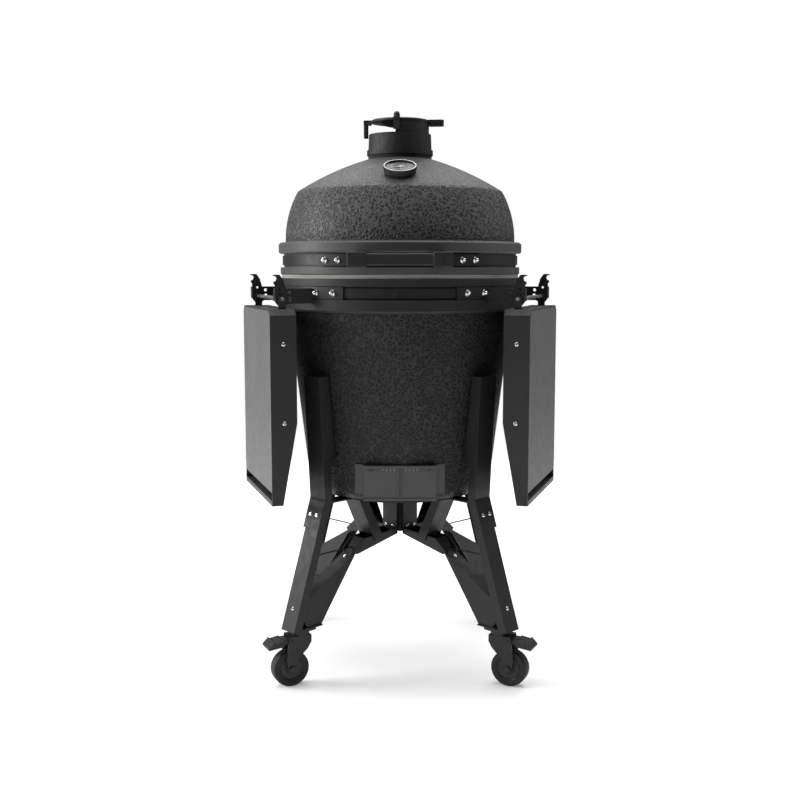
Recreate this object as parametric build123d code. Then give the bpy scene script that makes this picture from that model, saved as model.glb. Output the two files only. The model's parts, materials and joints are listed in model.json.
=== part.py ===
"""Kamado ceramic grill on a splayed steel stand with casters and two folding side tables.

Millimetres, +Z up.  The ceramic axis is the Z axis, the floor is Z = 0 and the front faces -Y.
Every function below builds one sub-part; the table at the end names and writes them.
"""
import os
from math import atan2, cos, degrees, radians, sin, sqrt, tan

from build123d import *

# ---------------------------------------------------------------- driving dimensions
GAP = 0.3                     # air between neighbouring pieces that do not move
RUN = 0.05                    # radial running clearance of a pin in its hole
SHEET = 3.0                   # thickness of the stand's folded steel

# ceramic base
BASE_BOTTOM_Z = 398.0
BASE_RIM_Z = 882.5
BASE_RIM_R = 272.0
BASE_RIM_H = 16.0
BASE_BODY_TOP_R = 257.0
BASE_BODY_BOTTOM_R = 207.0
BASE_CORNER_R = 34.0
GROOVE_R = 264.6
GROOVE_WALL = 19.6              # ceramic left behind a band groove
BASE_GROOVE_H = 28.0
BASE_COLLAR_H = 27.0
WALL = 27.0

# ceramic lid
FELT = 3.7
LID_RING_R = 272.5
LID_RING_H = 16.0
LID_GROOVE_H = 30.5
LID_UPPER_RING_R = 276.5
LID_UPPER_RING_H = 24.5
LID_SIDE_FOOT_R = 260.5
LID_SHOULDER_R = 232.0
LID_SHOULDER_H = 185.0
LID_SIDE_BULGE = 8.0
LID_SHOULDER_FILLET = 12.0
LID_NECK_R = 71.0
LID_H = 258.5
LID_CONE_BULGE = 6.0
CHIMNEY_R = 52.0

# steel bands that clamp the ceramic
BAND_T = 3.0
BAND_H = 21.0
BAND_SPLIT = 8.0
PLATE_T = 3.2

# chimney and top vent
COLLAR_R = 71.2
COLLAR_FLANGE_R = 74.8
COLLAR_FLANGE_H = 11.0
COLLAR_H = 46.5
CHIMNEY_FELT = 8.0
CAP_WALL_R = 65.6
CAP_WALL_T = 4.0
CAP_WINDOW_H = 26.5
CAP_T = 6.0
CAP_FIN_W = 18.0                # width of the tab and of the hanging handle
KNOB_R = 7.0
CAP_TAB_REACH = 99.5
CAP_HANDLE_REACH = 82.0
CAP_KNOB_TOP = 12.0

# thermometer in the lid
THERMO_R = 36.0
THERMO_H = 14.5
THERMO_AT_R = 177.0
THERMO_TILT = 25.0            # away from vertical, towards the front
STEM_R = 4.0
STEM_LENGTH = 62.0

# handle in front of the lid band
HANDLE_HALF = 107.0
HANDLE_BLOCK = 40.0
HANDLE_H = 31.0
HANDLE_BAR_H = 25.0
HANDLE_DEPTH = 24.0
HANDLE_FRONT = 323.0
LID_NUT_ANGLES = (28.9, 35.8)
BASE_NUT_ANGLES = (31.6, 41.3)

# hinge behind the bands
HINGE_Y = 299.0
HINGE_PIN_R = 5.0
HINGE_LID_EAR_X = 40.0
HINGE_BASE_EAR_X = 50.0
HINGE_EAR_T = 4.0
SPRING_WIRE = 4.0
SPRING_R = 10.5
SPRING_TURNS = 6

# draft vent low on the front of the base
DRAFT_HALF = 79.0
DRAFT_BOTTOM_Z = 408.0
DRAFT_TOP_Z = 483.5
DRAFT_HOLE_HALF = 48.0
DRAFT_HOLE_H = 40.0
DRAFT_WING = 97.5
DOOR_T = 2.0
DOOR_SLIT = 0.6

# side tables, folded down
TABLE_TURN = 18.0             # the tables' outward directions lean this far to the front
TABLE_FACE = 335.5
TABLE_W = 310.0
TABLE_TOP_Z = 818.6
TABLE_LENGTH = 417.6
TABLE_DEPTH = 56.0
TABLE_END_DEPTH = 24.0
TABLE_STRAIGHT = 241.6
TABLE_SKIN = 2.5
TABLE_CORNER = 12.5
TABLE_SLOT = 17.0
TABLE_RAIL = 10.6
TABLE_PANEL_T = 8.0
PIVOT_D = 305.0
PIVOT_Z = 840.0
PIVOT_R = 4.0
ARM_OFFSET = 130.0
ARM_T = 3.0
STRAP_FROM = 26.0
STRAP_TO = 112.0
STRAP_H = 26.0

# stand: four identical quadrants on the diagonals
QUADRANTS = (("front_left", -135.0), ("front_right", -45.0), ("rear_right", 45.0), ("rear_left", 135.0))
POST_W = 50.0
POST_TOP_Z = 673.0
POST_TOP_R = 270.0
POST_BEND_Z = 405.0
POST_BEND_R = 254.6
POST_TAIL_Z = 340.0
POST_FLANGE_Z = 490.0
SPLAY = 18.3
FOOT_Z = 127.0
FOOT_INNER_R = 262.0
LEG_DEPTH = 22.0
KNEE_R = 160.0
KNEE_Z = 268.0
KNEE_TOP_R = 133.0
KNEE_TOP_Z = 297.0
STRUT_W = 36.0
STRUT_FOOT_Z = 180.0
ARM_W = 43.0
ARM_HUB_H = 13.0
HUB_R = 31.0
HUB_Z = 290.5
PANEL_W = 46.0
CORE_HALF = 26.0
RING_STRUT_TOP_R = 156.0
RING_STRUT_BOTTOM_R = 111.0
RING_STRUT_W = 49.0
RING_STRUT_DEPTH = 24.0
RING_OUTER_R = 168.0
RING_SKIRT = 4.0
TIE_R = 1.6
TIE_Z = 277.0

# casters
SWIVEL_R = 309.7
WHEEL_R = 40.0
WHEEL_W = 28.0
TRAIL = 24.0
TRAIL_ANGLE = 25.0            # rest direction of the trail, from the X axis towards front or rear
AXLE_R = 4.0
KINGPIN_R = 6.0
RACE_R = 21.0
FORK_T = 2.5
FORK_GAP = 17.2
PEDAL_REACH = 78.0
PEDAL_W = 46.0
PEDAL_Z = 103.0
PEDAL_X = 24.0
PEDAL_PIN_R = 2.5

# inside the base
CHAMBER_FLOOR_Z = 426.0
BOWL_T = 18.0
BOWL_GAP = 7.0
BOWL_TOP_Z = 655.0
FIRE_RING_H = 198.0
GRATE_Z = 505.0
GRATE_T = 8.0
GRID_INSET = 6.0                # how far the grid stops inside the fire ring's edge
GRID_BAR = 5.0
GRID_PITCH = 19.0

# ---------------------------------------------------------------- derived positions
BODY_TOP_Z = BASE_RIM_Z - BASE_RIM_H - BASE_GROOVE_H - BASE_COLLAR_H
BAND_IN = GROOVE_R + 0.1
BAND_OUT = BAND_IN + BAND_T
PLATE_OUT = BAND_OUT + GAP + PLATE_T
BASE_BAND_Z = BASE_RIM_Z - BASE_RIM_H - BASE_GROOVE_H / 2
LID_Z = BASE_RIM_Z + 2 * FELT + 0.4
LID_BAND_Z = LID_Z + LID_RING_H + LID_GROOVE_H / 2
LID_TOP_Z = LID_Z + LID_H
SEAM_Z = BASE_RIM_Z + FELT + 0.2
COLLAR_Z = LID_TOP_Z + CHIMNEY_FELT
COLLAR_TOP_Z = COLLAR_Z + COLLAR_H
CAP_Z = COLLAR_TOP_Z + CAP_WINDOW_H
TAPER = (BASE_BODY_TOP_R - BASE_BODY_BOTTOM_R) / (BODY_TOP_Z - BASE_BOTTOM_Z)
FORK_TOP_Z = FOOT_Z - SHEET - 4.0 - 0.5
FRONT = -90.0


def body_r(z):
    """Outside radius of the base's tapered body at height z."""
    return BASE_BODY_BOTTOM_R + TAPER * (z - BASE_BOTTOM_Z)


# ---------------------------------------------------------------- helpers
def flat(points):
    """Face in the XZ plane from (x, z) corners."""
    return make_face(Polyline([(x, 0, z) for x, z in points], close=True))


def turned(points):
    """Solid of revolution about Z from (radius, z) corners."""
    return revolve(flat(points), Axis.Z)


def plate(points, width, offset=0.0):
    """Corners in the XZ plane, extruded to a total width along Y about an offset."""
    return Pos(0, offset, 0) * extrude(flat(points), amount=width / 2, both=True)


def tube(r_in, r_out, z0, z1):
    return Pos(0, 0, (z0 + z1) / 2) * (Cylinder(r_out, z1 - z0) - Cylinder(r_in, z1 - z0 + 2))


def disc(radius, z0, z1):
    return Pos(0, 0, (z0 + z1) / 2) * Cylinder(radius, z1 - z0)


def sector(r_in, r_out, z0, z1, start, end):
    """Part of a ring from one azimuth to another, in degrees from +X."""
    face = flat([(r_in, z0), (r_out, z0), (r_out, z1), (r_in, z1)])
    return Rot(0, 0, start) * revolve(face, Axis.Z, end - start)


def block(x0, x1, y0, y1, z0, z1):
    return Pos((x0 + x1) / 2, (y0 + y1) / 2, (z0 + z1) / 2) * Box(x1 - x0, y1 - y0, z1 - z0)


def rod(start, end, radius):
    """Round bar between two points."""
    along = Vector(*end) - Vector(*start)
    middle = Vector(*start) + along * 0.5
    return Plane(origin=middle, z_dir=along) * Cylinder(radius, along.length)


def thick_line(points, thickness):
    """Outline of sheet metal bent along (x, z) points, its thickness on the right-hand side."""
    inner = []
    last = len(points) - 1
    for i, (x, z) in enumerate(points):
        before = points[max(i - 1, 0)]
        after = points[min(i + 1, last)]
        turn_in = atan2(z - before[1], x - before[0]) if i > 0 else None
        turn_out = atan2(after[1] - z, after[0] - x) if i < last else None
        angle_in = turn_in if turn_in is not None else turn_out
        angle_out = turn_out if turn_out is not None else turn_in
        middle = (angle_in + angle_out) / 2
        reach = thickness / cos((angle_out - angle_in) / 2)
        inner.append((x + reach * sin(middle), z - reach * cos(middle)))
    return points + inner[::-1]


def joined(solids):
    """Separate solids kept together in one node."""
    return Compound(children=[part for item in solids for part in item.solids()])


def at(radius, azimuth, z):
    return Vector(radius * cos(radians(azimuth)), radius * sin(radians(azimuth)), z)


def facing(point, normal):
    """Frame with its Z along a fastener's axis."""
    return Plane(origin=point, z_dir=normal)


def dome_nut():
    """Chromed cap nut standing on Z = 0."""
    nut = extrude(RegularPolygon(radius=5.6, side_count=6), amount=4.5)
    return nut + Pos(0, 0, 4.5) * (Sphere(4.3) & (Pos(0, 0, 5) * Box(12, 12, 10)))


def button_bolt(radius=4.6):
    """Button head with a hexagon socket, standing on Z = 0."""
    head = Pos(0, 0, 1.5) * Cylinder(radius, 3.0)
    head = chamfer(head.edges().sort_by(Axis.Z)[-1], 1.1)
    return head - Pos(0, 0, 1.0) * extrude(RegularPolygon(radius=radius * 0.45, side_count=6), amount=4)


# ---------------------------------------------------------------- ceramic
def base_ceramic():
    """Tapered ceramic pot with a banded collar, a rim and a draft hole at the front."""
    body_top = BODY_TOP_Z
    ring_r = BASE_RIM_R
    groove_top = BASE_RIM_Z - BASE_RIM_H
    groove_bottom = groove_top - BASE_GROOVE_H
    outside = [
        (0, BASE_BOTTOM_Z), (BASE_BODY_BOTTOM_R, BASE_BOTTOM_Z), (BASE_BODY_TOP_R, body_top),
        (ring_r - 3, body_top), (ring_r, body_top + 4), (ring_r, groove_bottom),
        (GROOVE_R, groove_bottom), (GROOVE_R, groove_top), (ring_r, groove_top),
        (ring_r, BASE_RIM_Z), (0, BASE_RIM_Z),
    ]
    pot = turned(outside)
    corner = pot.edges().filter_by(GeomType.CIRCLE).filter_by(
        lambda e: abs(e.center().Z - BASE_BOTTOM_Z) < 0.01)
    pot = fillet(corner, BASE_CORNER_R)
    floor_r = body_r(CHAMBER_FLOOR_Z) - WALL
    top_r = BASE_BODY_TOP_R - WALL
    hollow = turned([
        (0, CHAMBER_FLOOR_Z), (floor_r, CHAMBER_FLOOR_Z), (top_r, body_top),
        (rim_inner_r(), body_top + 12), (rim_inner_r(), BASE_RIM_Z + 5), (0, BASE_RIM_Z + 5),
    ])
    pot = pot - hollow
    return pot - draft_hole(BASE_BODY_TOP_R)


def rim_inner_r():
    """Inside radius of both ceramic rims, behind the band grooves."""
    return GROOVE_R - GROOVE_WALL


def draft_hole(reach):
    middle = (DRAFT_BOTTOM_Z + DRAFT_TOP_Z) / 2 + 4
    return block(-DRAFT_HOLE_HALF, DRAFT_HOLE_HALF, -reach, -reach / 2,
                 middle - DRAFT_HOLE_H / 2, middle + DRAFT_HOLE_H / 2)


def lid_profile(shrink):
    """Side and cone of the lid as edges, moved inwards by the wall."""
    foot = (LID_SIDE_FOOT_R - shrink, LID_Z + LID_RING_H + LID_GROOVE_H + LID_UPPER_RING_H)
    shoulder = (LID_SHOULDER_R - shrink * 0.85, LID_Z + LID_SHOULDER_H - shrink * 0.75)
    neck = (LID_NECK_R if shrink == 0 else CHIMNEY_R, LID_TOP_Z - shrink * 1.1)
    return foot, shoulder, neck


def bulged(start, end, bulge):
    """Arc between two (radius, z) points that stands out by a bulge at its middle."""
    across = (end[0] - start[0], end[1] - start[1])
    length = sqrt(across[0] ** 2 + across[1] ** 2)
    middle = ((start[0] + end[0]) / 2 + bulge * across[1] / length,
              (start[1] + end[1]) / 2 - bulge * across[0] / length)
    return ThreePointArc((start[0], 0, start[1]), (middle[0], 0, middle[1]), (end[0], 0, end[1]))


def path(points):
    return Polyline([(x, 0, z) for x, z in points])


def lid_ceramic():
    """Domed lid: rim ring, band groove, upper ring, textured side, shoulder and cone."""
    foot, shoulder, neck = lid_profile(0)
    groove_bottom = LID_Z + LID_RING_H
    groove_top = groove_bottom + LID_GROOVE_H
    lower = path([(0, LID_Z), (LID_RING_R - 2, LID_Z), (LID_RING_R, LID_Z + 2),
                  (LID_RING_R, groove_bottom), (GROOVE_R, groove_bottom), (GROOVE_R, groove_top),
                  (LID_UPPER_RING_R - 3, groove_top), (LID_UPPER_RING_R, groove_top + 3),
                  (LID_UPPER_RING_R, foot[1] - 4), (LID_UPPER_RING_R - 4, foot[1]), foot])
    side = bulged(foot, shoulder, LID_SIDE_BULGE)
    cone = bulged(shoulder, neck, LID_CONE_BULGE)
    close = path([neck, (0, neck[1]), (0, LID_Z)])
    dome = revolve(make_face([*lower.edges(), *side.edges(), *cone.edges(), *close.edges()]), Axis.Z)
    edge = dome.edges().filter_by(GeomType.CIRCLE).filter_by(
        lambda e: abs(e.center().Z - shoulder[1]) < 0.01)
    dome = fillet(edge, LID_SHOULDER_FILLET)

    foot_in, shoulder_in, neck_in = lid_profile(WALL)
    rim_in = rim_inner_r()
    start = path([(0, LID_Z - 5), (rim_in, LID_Z - 5), (rim_in, foot_in[1] - 60), foot_in])
    side_in = bulged(foot_in, shoulder_in, LID_SIDE_BULGE)
    cone_in = bulged(shoulder_in, neck_in, LID_CONE_BULGE)
    finish = path([neck_in, (CHIMNEY_R, LID_TOP_Z + 5), (0, LID_TOP_Z + 5), (0, LID_Z - 5)])
    hollow = revolve(
        make_face([*start.edges(), *side_in.edges(), *cone_in.edges(), *finish.edges()]), Axis.Z)
    stem_hole = thermo_frame() * Cylinder(STEM_R + 1.0, 4 * STEM_LENGTH)
    return dome - hollow - stem_hole


def base_gasket():
    return tube(BASE_RIM_R - WALL + 2, BASE_RIM_R - 2, BASE_RIM_Z + 0.1, BASE_RIM_Z + FELT)


def lid_gasket():
    return tube(BASE_RIM_R - WALL + 2, BASE_RIM_R - 2, LID_Z - FELT, LID_Z - 0.1)


def fire_bowl():
    """Loose ceramic bowl that holds the charcoal, open towards the draft hole."""
    bottom = CHAMBER_FLOOR_Z + 0.5
    outer_bottom = body_r(bottom) - WALL - BOWL_GAP
    outer_top = body_r(BOWL_TOP_Z) - WALL - BOWL_GAP
    bowl = turned([(0, bottom), (outer_bottom, bottom), (outer_top, BOWL_TOP_Z), (0, BOWL_TOP_Z)])
    grate_seat = disc(grate_radius() + 1.5, GRATE_Z, BOWL_TOP_Z + 1)
    upper = turned([(0, GRATE_Z + GRATE_T + 12), (grate_radius() + 1.5, GRATE_Z + GRATE_T + 12),
                    (outer_top - BOWL_T, BOWL_TOP_Z + 1), (0, BOWL_TOP_Z + 1)])
    ash_room = disc(grate_radius() - 14, bottom + 14, GRATE_Z + 1)
    return bowl - grate_seat - upper - ash_room - draft_hole(BASE_BODY_TOP_R - WALL)


def grate_radius():
    return body_r(GRATE_Z) - WALL - BOWL_GAP - BOWL_T - 22


def fire_ring_foot_r():
    return body_r(BOWL_TOP_Z) - WALL - BOWL_GAP


def fire_ring_top_r():
    """Outside of the fire ring at its top, clear of the tapered wall and of the rim."""
    return min(fire_ring_foot_r() + TAPER * FIRE_RING_H, rim_inner_r() - BOWL_GAP)


def fire_ring():
    """Ceramic ring on the bowl that carries the cooking grid."""
    low = BOWL_TOP_Z + 0.3
    high = low + FIRE_RING_H
    foot, top = fire_ring_foot_r(), fire_ring_top_r()
    return turned([(foot - BOWL_T, low), (foot, low), (top, high), (top - BOWL_T, high)])


def charcoal_grate():
    radius = grate_radius()
    grate = disc(radius, GRATE_Z + 0.2, GRATE_Z + 0.2 + GRATE_T)
    for i in range(12):
        slot = block(radius * 0.35, radius * 0.85, -5, 5, GRATE_Z - 1, GRATE_Z + GRATE_T + 2)
        grate -= Rot(0, 0, 30 * i) * slot
    for i in range(6):
        grate -= Rot(0, 0, 60 * i) * (Pos(radius * 0.17, 0, GRATE_Z + 4) * Cylinder(5, 20))
    return grate


def cooking_grid():
    """Round bar grid that lies on the fire ring."""
    z = BOWL_TOP_Z + 0.3 + FIRE_RING_H + GRID_BAR / 2 + 0.8
    radius = fire_ring_top_r() - GRID_INSET
    grid = tube(radius - GRID_BAR, radius, z - GRID_BAR / 2 - 0.5, z + GRID_BAR / 2 + 0.5)
    rows = int((radius - GRID_BAR) // GRID_PITCH)
    for i in range(-rows, rows + 1):
        x = i * GRID_PITCH
        half = sqrt((radius - GRID_BAR / 2) ** 2 - x ** 2)
        grid += rod((x, -half, z), (x, half, z), GRID_BAR / 2)
    return grid + block(-radius + 3, radius - 3, -3, 3, z - GRID_BAR / 2 - 0.4, z + 1)


# ---------------------------------------------------------------- bands and hinge
def band(z):
    ring = tube(BAND_IN, BAND_OUT, z - BAND_H / 2, z + BAND_H / 2)
    return ring - block(-BAND_SPLIT / 2, BAND_SPLIT / 2, -BAND_OUT - 5, -BAND_IN + 5, z - 50, z + 50)


def nuts(z, azimuths):
    return joined([facing(at(PLATE_OUT + 0.1, a, z), at(1, a, 0)) * dome_nut() for a in azimuths])


def base_band_nuts():
    front = [FRONT + side * a for side in (-1, 1) for a in BASE_NUT_ANGLES]
    return nuts(BASE_BAND_Z, front + [90 - 8.0, 90 + 8.0])


def lid_band_nuts():
    front = [FRONT + side * a for side in (-1, 1) for a in LID_NUT_ANGLES]
    return nuts(LID_BAND_Z, front + [90 - 5.5, 90 + 5.5])


def ear_plate(band_z, reach_r, x, width_at_band):
    """Flat ear from the back of a band to the hinge pin, square to X."""
    low, high = band_z - width_at_band / 2, band_z + width_at_band / 2
    outline = Polyline([(PLATE_OUT - 8, low), (PLATE_OUT - 8, high),
                        (HINGE_Y, SEAM_Z + reach_r), (HINGE_Y, SEAM_Z - reach_r)], close=True)
    web = Rot(0, 0, 90) * extrude(Plane.XZ * make_face(outline), amount=HINGE_EAR_T / 2, both=True)
    head = Pos(0, HINGE_Y, SEAM_Z) * Rot(0, 90, 0) * Cylinder(reach_r, HINGE_EAR_T)
    hole = Pos(0, HINGE_Y, SEAM_Z) * Rot(0, 90, 0) * Cylinder(HINGE_PIN_R + RUN, HINGE_EAR_T * 3)
    return Pos(x, 0, 0) * (web + head - hole)


def hinge_bracket(band_z, ear_x, reach_r, height):
    half_angle = degrees((ear_x + 6) / PLATE_OUT)
    strap = sector(BAND_OUT + GAP, PLATE_OUT, band_z - height / 2, band_z + height / 2,
                   90 - half_angle, 90 + half_angle)
    ears = [ear_plate(band_z, reach_r, side * ear_x, height - 2) for side in (-1, 1)]
    bracket = strap + ears[0] + ears[1]
    inside_band = tube(0.1, BAND_OUT + GAP, band_z - height, band_z + height)
    return bracket - inside_band


def hinge_base_bracket():
    bracket = hinge_bracket(BASE_BAND_Z, HINGE_BASE_EAR_X, HANDLE_FRONT - HINGE_Y, BAND_H + 5)
    keep_out = disc(BASE_RIM_R + 0.6, BASE_RIM_Z - BASE_RIM_H - 1, LID_Z + LID_RING_H)
    return bracket - keep_out


def hinge_lid_bracket():
    bracket = hinge_bracket(LID_BAND_Z, HINGE_LID_EAR_X, 15.0, BAND_H + 5)
    keep_out = disc(LID_RING_R + 0.6, LID_Z - 40, LID_Z + LID_RING_H + 1)
    return bracket - keep_out


def hinge_pin():
    half = HINGE_BASE_EAR_X + HINGE_EAR_T / 2 + 5
    pin = rod((-half, HINGE_Y, SEAM_Z), (half, HINGE_Y, SEAM_Z), HINGE_PIN_R)
    for side in (-1, 1):
        pin += rod((side * (half - 4.5), HINGE_Y, SEAM_Z), (side * half, HINGE_Y, SEAM_Z), HINGE_PIN_R + 3)
    return pin


def hinge_springs():
    """Two torsion coils on the pin, between the lid's ears."""
    pitch = SPRING_WIRE + 0.35
    coils = []
    for side in (-1, 1):
        centre = side * (HINGE_LID_EAR_X - HINGE_EAR_T - 2 - pitch * SPRING_TURNS / 2)
        for i in range(SPRING_TURNS):
            x = centre + (i - (SPRING_TURNS - 1) / 2) * pitch
            coils.append(Pos(x, HINGE_Y, SEAM_Z) * Rot(0, 90, 0) * Torus(SPRING_R, SPRING_WIRE / 2))
    return joined(coils)


# ---------------------------------------------------------------- handle
def handle_bar():
    """Straight handle: a slim bar between two deeper end blocks."""
    z = LID_BAND_Z + 0.5
    inner = HANDLE_HALF - HANDLE_BLOCK
    back = -HANDLE_FRONT + HANDLE_DEPTH
    low, high = z - HANDLE_BAR_H / 2, z + HANDLE_BAR_H / 2
    bar = block(-inner - 2, inner + 2, -HANDLE_FRONT + 2, back - 2, low, high)
    bar = fillet(bar.edges().filter_by(Axis.X), 4)
    for side in (-1, 1):
        x0, x1 = sorted((side * inner, side * HANDLE_HALF))
        end = block(x0, x1, -HANDLE_FRONT, back, z - HANDLE_H / 2, z + HANDLE_H / 2)
        bar += fillet(end.edges(), 2.5)
    return bar


def handle_brackets():
    """Two pressed steel brackets from the lid band to the backs of the end blocks."""
    z = LID_BAND_Z
    back = -HANDLE_FRONT + HANDLE_DEPTH + 0.2
    solids = []
    for side in (-1, 1):
        a0, a1 = sorted((FRONT + side * 19.0, FRONT + side * 39.5))
        strap = sector(BAND_OUT + GAP, PLATE_OUT, z - 12, z + 12, a0, a1)
        inner = HANDLE_HALF - HANDLE_BLOCK + 4
        x0, x1 = sorted((side * (HANDLE_HALF - 12), side * inner))
        arm = block(x0, x1, back, -230, z - 10, z + 10)
        arm = arm - tube(0.1, BAND_OUT + GAP, z - 30, z + 30)
        solids.append(strap + arm)
    return joined(solids)


# ---------------------------------------------------------------- chimney and top vent
def chimney_gasket():
    return tube(CHIMNEY_R + 3, LID_NECK_R + 1, LID_TOP_Z + 0.1, COLLAR_Z - 0.1)


def chimney_collar():
    """Cast collar with a half wall that leaves a side window."""
    collar = tube(CHIMNEY_R, COLLAR_FLANGE_R, COLLAR_Z, COLLAR_Z + COLLAR_FLANGE_H)
    collar += turned([(CHIMNEY_R, COLLAR_Z), (COLLAR_R + 1, COLLAR_Z), (COLLAR_R - 1, COLLAR_TOP_Z),
                      (CHIMNEY_R, COLLAR_TOP_Z)])
    wall = sector(CAP_WALL_R - CAP_WALL_T, CAP_WALL_R, COLLAR_TOP_Z - 1, CAP_Z - GAP, -99, 99)
    return collar + wall


def vent_cap():
    """Turning cap: disc, hanging handle, side tab, knob and a domed underside."""
    z = CAP_Z
    disc_r = CAP_WALL_R + 1
    cap = turned([(0, z), (disc_r, z), (disc_r, z + CAP_T - 2), (disc_r - 4, z + CAP_T), (0, z + CAP_T + 1)])
    cap += turned([(0, z + 1), (0, z - 9), (25, z - 8), (42, z - 4), (52, z + 1)])
    fin = CAP_FIN_W / 2
    tab = block(disc_r - 8, CAP_TAB_REACH - fin, -fin, fin, z - 8, z + CAP_T)
    tab += Pos(CAP_TAB_REACH - fin, 0, z - 1) * Cylinder(fin, CAP_T + 8)
    cap += tab - disc(CAP_WALL_R + 0.8, z - 12, z)
    arm = block(-CAP_HANDLE_REACH, -disc_r + 8, -fin, fin, z - 4, z + CAP_T)
    hang = block(-CAP_HANDLE_REACH, -COLLAR_R - 1.6, -fin, fin, COLLAR_TOP_Z - 6.5, z + CAP_T)
    hang = fillet(hang.edges().filter_by(Axis.Z), 3)
    cap += arm - disc(CAP_WALL_R + 0.8, z - 12, z) + hang
    lug = block(-KNOB_R, KNOB_R, -disc_r - 8, -disc_r + 6, COLLAR_TOP_Z + 6, z + CAP_T)
    lug = lug - disc(CAP_WALL_R + 0.8, COLLAR_TOP_Z, z)
    knob_z = z + CAP_T + CAP_KNOB_TOP - KNOB_R
    knob = Pos(0, -disc_r - 1, knob_z) * Sphere(KNOB_R)
    stem = Pos(0, -disc_r - 1, (z + knob_z) / 2) * Cylinder(KNOB_R, knob_z - z)
    return Rot(0, 0, -6) * (cap + (lug + knob + stem))


def vent_shutter():
    """Half cylinder under the cap that closes the window when the cap is turned round."""
    outer = CAP_WALL_R - CAP_WALL_T - 0.6
    return sector(outer - 3, outer, COLLAR_TOP_Z + 0.6, CAP_Z - 0.1, -92, 92)


# ---------------------------------------------------------------- thermometer
def thermo_frame():
    """Frame on the lid's cone, with Z out of the dial."""
    foot, shoulder, neck = lid_profile(0)
    share = (shoulder[0] - THERMO_AT_R) / (shoulder[0] - neck[0])
    z = shoulder[1] + share * (neck[1] - shoulder[1]) + LID_CONE_BULGE
    tilt = radians(THERMO_TILT)
    return Plane(origin=(0, -THERMO_AT_R, z), x_dir=(1, 0, 0), z_dir=(0, -sin(tilt), cos(tilt)))


def thermometer_case():
    """Round case with a raised rim, on a stem that passes through the lid."""
    low = 2.0
    case = disc(THERMO_R - 1.5, low, THERMO_H)
    case += tube(THERMO_R - 4, THERMO_R, THERMO_H - 5, THERMO_H + 1)
    case -= disc(THERMO_R - 4, THERMO_H - 4, THERMO_H + 3)
    case += disc(STEM_R, -STEM_LENGTH, low + 1)
    return thermo_frame() * case


def thermometer_dial():
    return thermo_frame() * disc(THERMO_R - 4.2, THERMO_H - 4 + 0.1, THERMO_H - 3.0)


def thermometer_needle():
    """Pointer on its small hub; it turns about the dial's axis."""
    z = THERMO_H - 2.6
    pointer = Polyline([(-8, -1.6), (22, -0.5), (22, 0.5), (-8, 1.6)], close=True)
    needle = Pos(0, 0, z) * extrude(make_face(pointer), amount=0.8)
    return thermo_frame() * (Rot(0, 0, 200) * (needle + disc(3, z, z + 1.4)))


def thermometer_lens():
    return thermo_frame() * disc(THERMO_R - 4.2, THERMO_H - 0.9, THERMO_H + 0.6)


# ---------------------------------------------------------------- draft vent
def draft_plane_y():
    """Front of the draft frame's back plate."""
    return -(body_r(DRAFT_TOP_Z) + 2.5)


def draft_frame():
    """Steel frame on the ceramic: back plate with a hole, two rails and curved side wings."""
    y = draft_plane_y()
    z0, z1 = DRAFT_BOTTOM_Z, DRAFT_TOP_Z
    middle = (z0 + z1) / 2 + 4
    back = block(-DRAFT_HALF, DRAFT_HALF, y, y + 2, z0, z1)
    back -= block(-DRAFT_HOLE_HALF + 8, DRAFT_HOLE_HALF - 8, y - 5, y + 5,
                  middle - DRAFT_HOLE_H / 2 + 3, middle + DRAFT_HOLE_H / 2 - 3)
    lip_y = y - 2 * DOOR_T - 2.2
    for edge, inward in ((z1, -1), (z0, 1)):
        shelf = sorted((edge, edge + inward * 2.0))
        lip = sorted((edge, edge + inward * 5.0))
        back += block(-DRAFT_HALF, DRAFT_HALF, lip_y, y + 1, *shelf)
        back += block(-DRAFT_HALF, DRAFT_HALF, lip_y, lip_y + 1.5, *lip)
    for side in (-1, 1):
        inner = degrees(atan2(DRAFT_HALF - 3, -y))
        outer = degrees(atan2(DRAFT_WING, body_r(z0 + 30)))
        a0, a1 = sorted((FRONT + side * inner, FRONT + side * (outer + 1.5)))
        low = body_r(DRAFT_TOP_Z) + 1.2
        back += sector(low, low + 2.0, z0 + 11, z1, a0, a1)
        x0, x1 = sorted((side * (DRAFT_HALF - 2), side * DRAFT_HALF))
        back += block(x0, x1, y + 0.5, y + 20, z0, z1)
    return back - disc(body_r(DRAFT_TOP_Z) + 0.6, z0 - 5, z1 + 5)


def draft_screen():
    """Perforated spark screen behind the doors."""
    y = draft_plane_y()
    middle = (DRAFT_BOTTOM_Z + DRAFT_TOP_Z) / 2 + 4
    half_h = DRAFT_HOLE_H / 2 - 1
    half_w = DRAFT_HOLE_HALF - 6
    screen = block(-half_w, half_w, y - 1.4, y - 0.2, middle - half_h, middle + half_h)
    holes = [Pos(x, y, middle + row * 8.0) * Rot(90, 0, 0) * Cylinder(2.6, 12)
             for row in (-1.5, -0.5, 0.5, 1.5) for x in [i * 8.0 for i in range(-4, 5)]]
    return screen - holes


def draft_door(side):
    """Flat sliding door with a pull at its top, on one side of the middle."""
    y = draft_plane_y() - DOOR_T - 0.4
    x0, x1 = sorted((side * DOOR_SLIT, side * (DRAFT_HALF - 1)))
    door = block(x0, x1, y - DOOR_T, y, DRAFT_BOTTOM_Z + 2.4, DRAFT_TOP_Z - 2.4)
    lip0, lip1 = sorted((side * DOOR_SLIT, side * (DOOR_SLIT + 3)))
    door += block(lip0, lip1, y - DOOR_T - 2, y, DRAFT_BOTTOM_Z + 5.6, DRAFT_TOP_Z - 5.6)
    pull = Pos(side * 62, y - DOOR_T - 2.9, DRAFT_TOP_Z - 12) * Rot(90, 0, 0) * Cylinder(3.4, 6)
    return door + pull


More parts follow.
